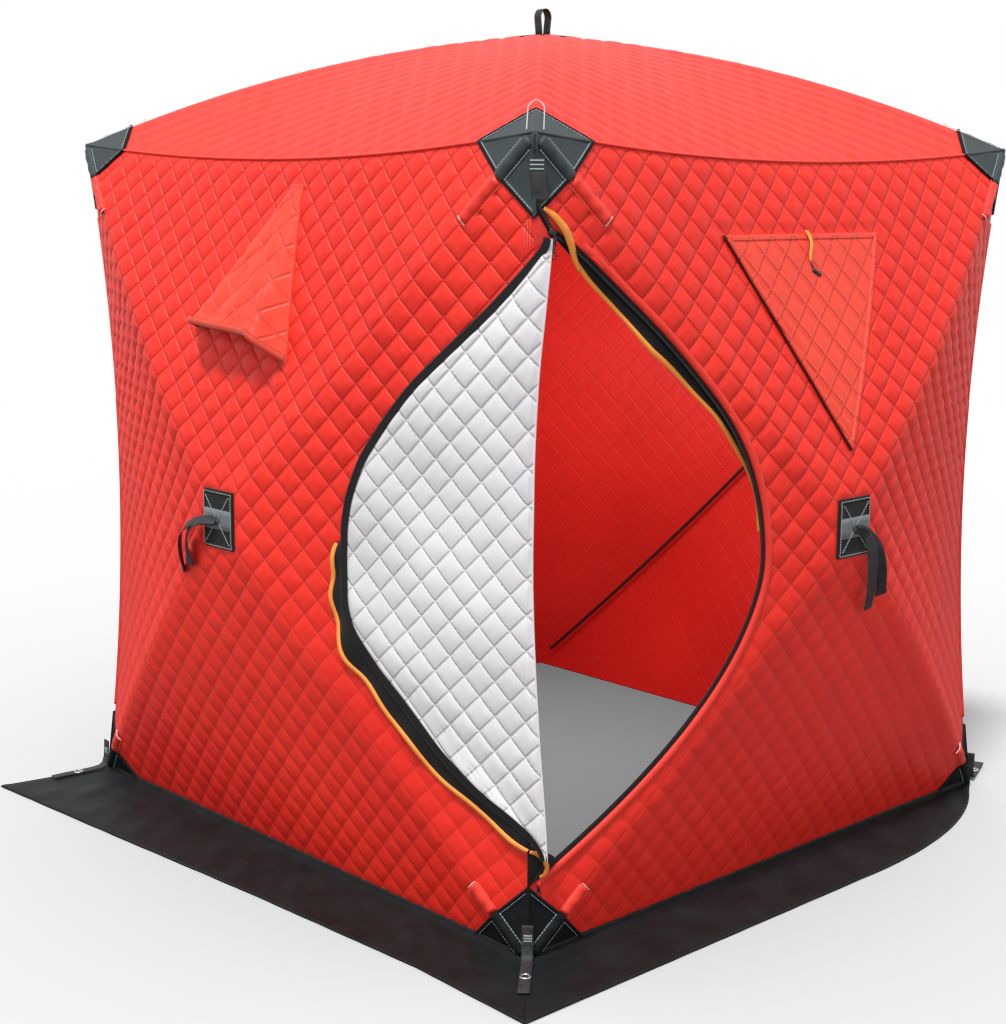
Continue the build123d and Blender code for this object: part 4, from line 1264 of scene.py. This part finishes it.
z = heights
s = np.maximum(flap_edge(z), -fold_edge(z) + 0.002)
ds, dz = np.gradient(s), np.gradient(z)
size = np.hypot(ds, dz)
ns, nz = dz / size, -ds / size
lift = 0.0135 + 0.003 * np.sin(z * 9.5 + 3.1) + 0.0035 * np.sin(z * 21 - 7)
lift = np.maximum(lift, 0.008)
profile = [(-0.006, 0.0036), (0.002, 0.0044), (0.013, 0.0030), (0.015, 0.0010), (0.012, -0.0010),
           (-0.004, -0.0040)]
rows = np.stack([at_door("front", s + ns * a, z + nz * a, lift + out) for a, out in profile])
line = at_door("front", s + ns * 0.011, z + nz * 0.011, lift + 0.0036)
tapes = []
turning = (z > FLAP_LOW + 0.004) & (z < FLAP_HIGH - 0.004)
for part in (turning, z <= FLAP_LOW + 0.012, z >= FLAP_HIGH - 0.012):
    tape = paint(grid_mesh("door_tape", rows[:, part]), BLACK)
    teeth = stitches("door_teeth", line[part], np.tile(FRONT_OUT, (part.sum(), 1)), 0.0018, 0.0014, 0.0045,
                     0.0012)
    tapes.append(join("door_tape", [tape, paint(teeth, PLASTIC)]))
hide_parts("door_zip_tape")
tape_ends = join("door_tape_ends", tapes[1:])
for obj, body in ((tapes[0], "door"), (tape_ends, "tent")):
    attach(obj, body)
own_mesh(tape_ends)

# Storm flap on the lower half of the door, wavy at its orange edge
low = (z < 0.885) & (z > FLAP_LOW - 0.020)
z, s, ns, nz, lift = z[low], s[low], ns[low], nz[low], lift[low]
run = (z - z[0]) / (z[-1] - z[0])
width = 0.046 * np.sin(math.pi * np.clip(run * 0.93 + 0.035, 0, 1)) ** 0.42
width = width * (1 + 0.13 * np.sin(run * 33) + 0.08 * np.sin(run * 19 + 2)) + 0.004
wave = 0.0035 * np.sin(run * 41 + 0.5) + 0.0025 * np.sin(run * 23)
share = np.linspace(0, 1, 9)[:, None]
fall = lift * (1 - share) + 0.0060 * share + wave * share + 0.002
fall = np.maximum(fall, 0.0035)
drape = at_door("front", s + ns * (0.004 + width * share), z + nz * (0.004 + width * share) - 0.010 * share,
                fall)
storm = thicken(paint(grid_mesh("door_storm", drape), BLACK), 0.0012)
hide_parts("door_storm_flap")
cloth(storm, "door", "storm_cloth", (1.05, 0.10), "hung", layers=2)
profile = [(-0.0060, 0.0004), (-0.0055, 0.0022), (0.0, 0.0030), (0.0055, 0.0020), (0.0060, 0.0)]
rows = [at_door("front", s + ns * (0.004 + width + a), z + nz * (0.004 + width + a) - 0.010, fall[-1] + out)
        for a, out in profile]
piping = paint(grid_mesh("door_binding_orange", np.stack(rows)), ORANGE)
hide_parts("door_storm_piping")
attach(piping, "door")


# Rounded blocks, for sliders, buckles and toggles
def block(name, centre, axes, size, bevel, mat):
    """A bevelled block, with its size along three axes."""
    mesh = bpy.data.meshes.new(name)
    corners = [(x, y, z) for x in (-0.5, 0.5) for y in (-0.5, 0.5) for z in (-0.5, 0.5)]
    faces = [(0, 1, 3, 2), (4, 6, 7, 5), (0, 4, 5, 1), (2, 3, 7, 6), (0, 2, 6, 4), (1, 5, 7, 3)]
    frame_axes = np.array([unit(np.asarray(a, float)) for a in axes])
    verts = [np.asarray(centre) + (np.array(c) * size) @ frame_axes for c in corners]
    mesh.from_pydata([tuple(v) for v in verts], [], faces)
    obj = bpy.data.objects.new(name, mesh)
    bpy.context.scene.collection.objects.link(obj)
    soft = obj.modifiers.new("soft", "BEVEL")
    soft.width = bevel
    soft.segments = 3
    bpy.context.view_layer.objects.active = obj
    bpy.ops.object.modifier_apply(modifier=soft.name)
    return paint(obj, mat)


def loop_ring(name, centre, axis_a, axis_b, radius_a, radius_b, wire, mat):
    angle = np.linspace(0, 2 * math.pi, 28, endpoint=False)
    points = (np.asarray(centre) + np.outer(np.cos(angle) * radius_a, axis_a)
              + np.outer(np.sin(angle) * radius_b, axis_b))
    return paint(tube(name, points, wire, closed=True), mat)


sliders = []
for w, out in ((0.972, 0.004), (-0.975, -0.007)):
    z0 = DOOR_MIDDLE + DOOR_HALF * w
    s0 = doorway_s(z0)
    centre = at_door("right", s0 - 0.004, z0 - 0.010 * math.copysign(1, w), out)
    way = unit(RIGHT_ALONG * -0.86 + RISE * 0.5 * math.copysign(1, w))
    sliders.append(block("slider", centre, (way, RIGHT_OUT, np.cross(way, RIGHT_OUT)), (0.017, 0.008, 0.013),
                         0.002,
                         DARK_METAL))
    pull = centre - RISE * 0.026 + RIGHT_OUT * 0.005
    sliders.append(block("pull", pull, (RISE, RIGHT_OUT, RIGHT_ALONG), (0.034, 0.003, 0.008), 0.0012,
                         DARK_METAL))
    sliders.append(loop_ring("ring", pull - RISE * 0.021, RISE, RIGHT_ALONG, 0.0075, 0.0068, 0.0016,
                             DARK_METAL))
slider = join("zip_pulls", sliders)
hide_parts("zip_sliders")
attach(slider, "tent")

# Hub patches: dark cloth with a pale grey band, crossed stitching, a ring and two strap tails
STRAP_ARCS = ((0.165, 0.150, 0.0), (0.120, 0.125, 1.4))
STRAP_FALLS = ((0.135, 0.180, 0.0), (0.070, 0.205, 1.4))
patches, bands, threads, straps = [], [], [], []
for side, turn in TURN.items():
    right = world(turn, 1, 0, 0)
    out = world(turn, 0, 0, 1)
    middle = world(turn, 0, HUB_HEIGHT, HUB_REACH)

    def at_patch(x, y, lift):
        x, y, lift = np.broadcast_arrays(np.asarray(x, float), np.asarray(y, float), np.asarray(lift, float))
        bend = -0.10 * (np.maximum(np.abs(x) - 0.045, 0) + np.maximum(np.abs(y) - 0.05, 0))
        return middle + right * x[..., None] + RISE * y[..., None] + out * (lift + bend)[..., None]

    x = np.array([-0.0605, -0.060, -0.059, -0.052, -0.051] + list(np.linspace(-0.045, 0.045, 13))
                 + [0.051, 0.052, 0.059, 0.060, 0.0605])
    y = np.array([-0.0705, -0.070, -0.069, -0.062, -0.061] + list(np.linspace(-0.055, 0.055, 15))
                 + [0.061, 0.062, 0.069, 0.070, 0.0705])
    gx, gy = np.meshgrid(x, y)
    rim = np.maximum(np.abs(gx) - 0.0600, np.abs(gy) - 0.0700)
    fold = (np.abs(gx) > 0.0515) | (np.abs(gy) > 0.0615)
    lift = np.where(rim > 0, -0.003, np.where(fold, 0.0052, 0.0038))
    patches.append(paint(grid_mesh(f"{side}_patch", at_patch(gx, gy, lift)), BLACK))
    bx, by = np.meshgrid(np.linspace(-0.056, 0.056, 20),
                         np.array([-0.0365, -0.036, -0.02, 0.0, 0.012, 0.0125]))
    lift = np.full(bx.shape, 0.0058)
    lift[0], lift[-1] = 0.003, 0.003
    bands.append(paint(grid_mesh(f"{side}_band", at_patch(bx, by + 0.012, lift)), BAND_GREY))
    for ends in (((-0.048, 0.057), (0.048, -0.057)), ((-0.048, -0.057), (0.048, 0.057)),
                 ((-0.055, 0.065), (0.055, 0.065)), ((-0.055, -0.065), (0.055, -0.065)),
                 ((-0.055, -0.065), (-0.055, 0.065)), ((0.055, -0.065), (0.055, 0.065))):
        share = np.linspace(0, 1, 50)
        px = ends[0][0] + (ends[1][0] - ends[0][0]) * share
        py = ends[0][1] + (ends[1][1] - ends[0][1]) * share
        p = at_patch(px, py, 0.0066)
        threads.append(paint(stitches("cross", p, np.tile(out, (50, 1)), 0.004, 0.0025, 0.0011, 0.0008),
                             THREAD))
    hole = loop_ring(f"{side}_eye", at_patch(0.0, -0.004, 0.0066), right, RISE, 0.008, 0.008, 0.0022, PLASTIC)
    straps.append(hole)
    way = {"front": -1, "right": 1, "back": 1, "left": -1}[side]
    for reach, length, phase in (STRAP_FALLS if side in ("right", "back") else STRAP_ARCS):
        t = np.linspace(0, 1, 34)
        if side in ("right", "back"):
            swing = way * (0.030 * (1 - np.exp(-t / 0.06)) + (reach - 0.030) * t**1.2)
            drop = -0.004 - length * t**1.15 + 0.006 * np.sin(math.pi * t)
        else:
            swing = way * reach * (1 - (1 - t) ** 1.9)
            drop = -0.004 - length * t**1.6 + 0.012 * np.sin(math.pi * t)
        rise = 0.010 + 0.024 * np.sin(math.pi * np.clip(t * 0.9, 0, 1)) + 0.003 * np.sin(t * 6 + phase) * t
        centre = at_patch(swing, drop, rise)
        ahead = unit(np.gradient(centre, axis=0))
        flatwise = np.cross(out, ahead)
        turnaway = 0.35 + 0.5 * np.sin(t * 2.4 + phase)
        wide = unit(flatwise * np.cos(turnaway)[:, None] + out[None, :] * np.sin(turnaway)[:, None])
        grid = np.stack([centre + wide * a for a in (-0.0125, -0.006, 0.0, 0.006, 0.0125)])
        tail = thicken(paint(grid_mesh(f"{side}_tail", grid), BLACK_WEBBING), 0.0018, 0.0)
        straps.append(tail)
        straps.append(block("tail_hem", centre[-1] - ahead[-1] * 0.008,
                            (wide[-1], ahead[-1], np.cross(wide[-1], ahead[-1])),
                            (0.027, 0.018, 0.0042), 0.0012, BLACK_WEBBING))
patch = join("hub_patch_cloths", patches + bands)
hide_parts("hub_patches")
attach(patch, "tent")
thread = join("hub_patch_stitching", threads)
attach(thread, "tent")
strap = join("hub_straps", straps)
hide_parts("hub_pull_straps")
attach(strap, "tent")

# Roof patch, its pull loop and the tab under the roof's front tip
top_z = ROOF_HUB_HEIGHT
gx, gy = np.meshgrid(np.linspace(-0.069, 0.069, 15), np.linspace(-0.069, 0.069, 15))
lift = top_z + 0.0035 - 0.4 * np.maximum(np.maximum(np.abs(gx), np.abs(gy)) - 0.06, 0)
roof_patch = paint(grid_mesh("roof_patch", np.stack([gx, gy, lift], axis=-1)), BLACK)
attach(roof_patch, "tent")
angle = np.linspace(-0.25, math.pi + 0.25, 40)
arch = np.stack([0 * angle, 0.019 * np.cos(angle), top_z + 0.052 + 0.022 * np.sin(angle)], axis=-1)
foot = np.array([[0, 0.014, top_z + 0.003], [0, 0.015, top_z + 0.02]])
line = np.concatenate([foot, arch, foot[::-1] * np.array([1, -1, 1])])
grid = np.stack([line + np.array([x, 0, 0]) for x in (-0.0125, -0.006, 0.0, 0.006, 0.0125)])
loop = thicken(paint(grid_mesh("roof_loop", grid), BLACK_WEBBING), 0.002, 0.0)
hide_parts("roof_strap_loop")
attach(loop, "tent")

diagonal = unit(np.array([1.0, -1.0, 0.0]))
crosswise = unit(np.array([1.0, 1.0, 0.0]))


def corner_place(x, z, lift):
    """Points on the front right corner: x across the corner, z up and lift out from it."""
    x, z, lift = np.broadcast_arrays(np.asarray(x, float), np.asarray(z, float), np.asarray(lift, float))
    return CORNER + crosswise * x[..., None] + diagonal * lift[..., None] + RISE * z[..., None]


tab_parts = []
rows = np.array([1.7215, 1.721, 1.712, 1.70, 1.69, 1.68, 1.665, 1.65, 1.640, 1.6385])
columns = np.linspace(-0.017, 0.017, 9)
gx, gz = np.meshgrid(columns, rows)
lift = 0.0045 - 0.35 * np.abs(gx) * 0.3 + 0.004 * np.sin((gz - 1.638) * 38) ** 2
lean = 0.004 + (1.721 - gz) * 0.10
tab_parts.append(thicken(paint(grid_mesh("tab", corner_place(gx + lean, gz, lift), flip=True), BLACK_WEBBING),
                         0.002, 0.0))
for height in (1.716, 1.7075, 1.699):
    x = np.linspace(-0.0165, 0.0165, 20) + 0.005
    p = corner_place(x, height, 0.0085)
    tab_parts.append(paint(stitches("bar", p, np.tile(diagonal, (20, 1)), 0.0030, 0.0006, 0.0024, 0.0010),
                           THREAD))
cord = np.array([(-0.004, 1.768, 0.004), (-0.005, 1.752, 0.008), (-0.003, 1.738, 0.011), (0.0, 1.728, 0.009),
                 (0.003, 1.738, 0.010), (0.005, 1.752, 0.008), (0.004, 1.768, 0.004)])
tab_parts.append(paint(tube("tab_cord", corner_place(cord[:, 0], cord[:, 1], cord[:, 2]), 0.0022),
                       BLACK_WEBBING))
tab = join("corner_tab", tab_parts)
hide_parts("top_corner_tab")
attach(tab, "tent")


# Snow skirt: thin coated cloth lying on the ground, with soft wrinkles
def curve(points, count):
    """Evenly spaced points on straight runs, or on a quadratic curve where a run has a third point."""
    runs = []
    for run in points:
        t = np.linspace(0, 1, 40)[:, None]
        if len(run) == 2:
            runs.append(np.array(run[0]) * (1 - t) + np.array(run[1]) * t)
        else:
            a, b, c = (np.array(p) for p in run)
            runs.append(a * (1 - t) ** 2 + b * 2 * t * (1 - t) + c * t**2)
    line = np.concatenate(runs)
    steps = np.concatenate([[0], np.cumsum(np.linalg.norm(np.diff(line, axis=0), axis=1))])
    even = np.linspace(0, steps[-1], count)
    return np.stack([np.interp(even, steps, line[:, k]) for k in (0, 1)], axis=-1)


BASE = HALF_SIDE + 0.0008
SKIRT_RUNS = {
    "front": (((-BASE, -BASE), (BASE, -BASE)),
              [((-0.936, -1.185), (-0.390, -1.149)), ((-0.390, -1.149), (0.170, -1.108)),
               ((0.170, -1.108), (0.736, -1.078)), ((0.736, -1.078), (1.085, -1.086))]),
    "right": (((BASE, -BASE), (BASE, BASE)),
              [((1.086, -1.086), (1.096, 0.150)), ((1.096, 0.150), (1.087, 0.560), (0.925, 0.800)),
               ((0.925, 0.800), (BASE + 0.004, BASE))]),
    "back": (((BASE, BASE), (-BASE, BASE)),
             [((0.846, 0.931), (0.500, 1.087), (0.150, 1.087)), ((0.150, 1.087), (-1.086, 1.185))]),
    "left": (((-BASE, BASE), (-BASE, -BASE)),
             [((-1.087, 1.086), (-1.096, -0.300)), ((-1.096, -0.300), (-1.087, -0.600), (-0.966, -0.830))]),
}
for side, (inner_run, outer_runs) in SKIRT_RUNS.items():
    columns = 150
    inner = curve([inner_run], columns)
    outer = curve(outer_runs, columns)
    share = np.linspace(0, 1, 26)[:, None, None]
    ground = inner + (outer - inner) * share
    x, y, t = ground[..., 0], ground[..., 1], share[..., 0]
    run = np.linspace(0, 1, columns)[None, :]
    creases = np.sin(run * 63 + 4 * t) + 0.7 * np.sin(run * 117 - 9 * t + 1.0) + 0.5 * np.sin(x * 41 + y * 37)
    ends = np.clip(np.minimum(run, 1 - run) * 14, 0, 1)
    midway = np.sin(math.pi * np.clip(t, 0.03, 0.97)) ** 0.5
    lift = 0.0030 + 0.0021 * np.clip(creases, -0.6, 2) * ends * midway
    lift = lift + 0.0085 * np.exp(-((t / 0.06) ** 2)) + 0.0016 * (t > 0.955) * (t < 0.99)
    sheet = grid_mesh(f"{side}_skirt_cloth", np.stack([x, y, np.maximum(lift, 0.0018)], axis=-1), ground,
                      flip=True)
    sheet = thicken(paint(sheet, SKIRT_BLACK), 0.0014)
    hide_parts(f"{side}_skirt")
    cloth(sheet, "tent", "skirt_cloth", (2.15, 0.32), "laid", layers=2)
    trail = np.stack([x[23], y[23], lift[23] + 0.0012], axis=-1)
    thread = stitches(f"{side}_skirt_stitching", trail, np.tile([0, 0, 1.0], (columns, 1)), 0.005, 0.004,
                      0.0011, 0.0006)
    paint(thread, BLACK_WEBBING)
    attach(thread, "tent")

# Anchor straps: webbing down each lower corner and out over the skirt, with a metal grommet
ANCHOR_WAY = {"front_right": (0.94, -1), "front_left": (-0.1, -1), "back_right": (-0.4, 1),
              "back_left": (-0.1, 1)}
straps, grommets = [], []
for name, (sx, sy) in CAPS.items():
    way = unit(np.array([*ANCHOR_WAY[name], 0.0]))
    wide = np.cross(way, RISE)
    start = np.array([sx * HALF_SIDE, sy * HALF_SIDE, 0.0])
    reach = np.array([0.0055, 0.0065, 0.0085, 0.014, 0.026, 0.050, 0.090, 0.130, 0.165, 0.171])
    height = np.array([0.085, 0.060, 0.036, 0.018, 0.0105, 0.0085, 0.0080, 0.0086, 0.0078, 0.0075])
    run = np.linspace(0, len(reach) - 1, 46)
    reach = np.interp(run, np.arange(len(reach)), reach)
    height = np.interp(run, np.arange(len(height)), height)
    centre = start + way * reach[:, None] + RISE * height[:, None]
    grid = np.stack([centre + wide * a for a in (-0.013, -0.0065, 0.0, 0.0065, 0.013)])
    straps.append(thicken(paint(grid_mesh("anchor", grid), BLACK_WEBBING), 0.0018, 0.0))
    for at in (0.062, 0.056, 0.050):
        x = np.linspace(-0.0115, 0.0115, 14)[:, None]
        p = start + way * 0.0078 + RISE * at + wide * x
        straps.append(paint(stitches("bar", p, np.tile(way, (14, 1)), 0.0026, 0.0005, 0.0022, 0.0010),
                            THREAD))
    eye = start + way * 0.0945 + RISE * 0.0095
    angle = np.linspace(0, 2 * math.pi, 40, endpoint=False)
    profile = [(0.0080, -0.003), (0.0080, 0.0004), (0.0092, 0.0014), (0.0110, 0.0014), (0.0128, 0.0004),
               (0.0130, -0.001)]
    around = np.outer(np.cos(angle), way) + np.outer(np.sin(angle), wide)
    ring = [eye + around * r + RISE * h for r, h in profile]
    grid = np.stack([np.concatenate([r, r[:1]]) for r in ring])
    grommets.append(paint(grid_mesh("grommet", grid), METAL))
    hole = np.concatenate([[eye], eye + around * 0.0081])
    faces = [(0, i + 1, (i + 1) % 40 + 1) for i in range(40)]
    grommets.append(paint(make_mesh("grommet_shade", hole - RISE * 0.0003, faces), BLACK))
strap = join("anchor_webbing", straps)
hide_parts("anchor_straps")
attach(strap, "tent")
grommet = join("anchor_eyes", grommets)
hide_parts("anchor_grommets")
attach(grommet, "tent")

# Window toggles: an orange tab with a short black toggle on each cover
for side in ("right", "left"):
    turn = TURN[side]
    across, out = world(turn, 1, 0, 0), world(turn, 0, 0, 1)
    t = np.linspace(0, 1, 16)
    x = -0.028 + 0.006 * np.sin(t * 5)
    p = on_wall(turn, x, 1.566 - 0.070 * t, 0.0090 + 0.004 * np.sin(math.pi * t))
    grid = np.stack([p + across * a for a in (-0.0055, 0.0, 0.0055)])
    tag = thicken(paint(grid_mesh("toggle_tab", grid), ORANGE), 0.0015, 0.0)
    q = p[-1] + RISE * -0.004
    cord_line = np.stack([q, q + across * 0.006 - RISE * 0.012 + out * 0.004,
                          q + across * 0.016 - RISE * 0.022 + out * 0.003])
    cord_piece = paint(tube("toggle_cord", cord_line, 0.0016), BLACK_WEBBING)
    button_line = cord_line[-1] + np.outer(np.linspace(-1, 1, 7), across * 0.014 - RISE * 0.007)
    button = paint(tube("toggle_button", button_line, 0.0062, sides=14), PLASTIC)
    toggle = join(f"{side}_window_toggle", [tag, cord_piece, button])
    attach(toggle, "tent")

# CAD pieces that stay: hubs, poles and vent screens
STAYS = {"_hub": PLASTIC, "_poles": ROD, "_vent_screen": BLACK}
for name, obj in frame["nodes"].items():
    for ending, mat in STAYS.items():
        if name.endswith(ending):
            for slot in obj.material_slots:
                slot.material = mat
            if not obj.material_slots:
                obj.data.materials.append(mat)


# Camera, light and floor
FOCAL = 1744.316  # pixels
IMAGE_HEIGHT = 1024
SENSOR = 36
eye = Vector((3.43807, -3.36406, 1.65341))
yaw, pitch, roll = (math.radians(a) for a in (136.7923, -10.4048, 0.35497))
forward = Vector((math.cos(yaw) * math.cos(pitch), math.sin(yaw) * math.cos(pitch), math.sin(pitch)))
level = Vector((math.sin(yaw), -math.cos(yaw), 0))
over = level.cross(forward)
right_way = level * math.cos(roll) + over * math.sin(roll)
up_way = over * math.cos(roll) - level * math.sin(roll)
camera = bpy.data.objects.new("camera", bpy.data.cameras.new("camera"))
bpy.context.scene.collection.objects.link(camera)
camera.matrix_world = Matrix((
    (right_way.x, up_way.x, -forward.x, eye.x),
    (right_way.y, up_way.y, -forward.y, eye.y),
    (right_way.z, up_way.z, -forward.z, eye.z),
    (0, 0, 0, 1),
))
camera.data.sensor_width = SENSOR
camera.data.lens = SENSOR * FOCAL / IMAGE_HEIGHT
bpy.context.scene.camera = camera
bpy.context.scene.view_settings.view_transform = "Standard"

sky = bpy.data.worlds.new("sky")
bpy.context.scene.world = sky
sky.use_nodes = True
tree = sky.node_tree
tree.nodes.clear()
# The sky lights the hut, and the camera sees plain white in its place
backgrounds = []
for colour, strength in (((1.0, 0.98, 0.95, 1), 0.88), ((1, 1, 1, 1), 1.0)):
    background = tree.nodes.new("ShaderNodeBackground")
    background.inputs["Color"].default_value = colour
    background.inputs["Strength"].default_value = strength
    backgrounds.append(background)
path = tree.nodes.new("ShaderNodeLightPath")
choose = tree.nodes.new("ShaderNodeMixShader")
seen = path.outputs["Is Camera Ray"]
for ray in ("Is Glossy Ray", "Is Transmission Ray"):
    either = tree.nodes.new("ShaderNodeMath")
    either.operation = "MAXIMUM"
    tree.links.new(seen, either.inputs[0])
    tree.links.new(path.outputs[ray], either.inputs[1])
    seen = either.outputs[0]
tree.links.new(seen, choose.inputs[0])
for place, background in enumerate(backgrounds, 1):
    tree.links.new(background.outputs[0], choose.inputs[place])
tree.links.new(choose.outputs[0], tree.nodes.new("ShaderNodeOutputWorld").inputs[0])


def sun(name, strength, towards, angle):
    lamp = bpy.data.lights.new(name, "SUN")
    lamp.energy = strength
    lamp.angle = math.radians(angle)
    obj = bpy.data.objects.new(name, lamp)
    obj.rotation_euler = Vector(towards).to_track_quat("-Z", "Y").to_euler()
    bpy.context.scene.collection.objects.link(obj)


sun("sun", 3.1, (-0.18, 0.42, -1.0), 9)
sun("fill", 0.25, (-0.7, 0.7, -0.1), 40)

inside = bpy.data.lights.new("inside", "POINT")
inside.energy = 30
inside.color = (1.0, 0.75, 0.7)
inside.shadow_soft_size = 0.35
inside_lamp = bpy.data.objects.new("inside", inside)
inside_lamp.location = (-0.1, 0.1, 1.15)
bpy.context.scene.collection.objects.link(inside_lamp)

FLOOR_HALF, FLOOR_DROP = 9, -0.001
floor = make_mesh("floor", [(x * FLOOR_HALF, y * FLOOR_HALF, FLOOR_DROP)
                            for x, y in ((-1, -1), (1, -1), (1, 1), (-1, 1))], [(0, 1, 2, 3)])
snow, nodes, links, shader = material("floor_white")
shader.inputs["Base Color"].default_value = (0.16, 0.16, 0.165, 1)
shader.inputs["Roughness"].default_value = 0.9
paint(floor, snow)
floor.is_shadow_catcher = True
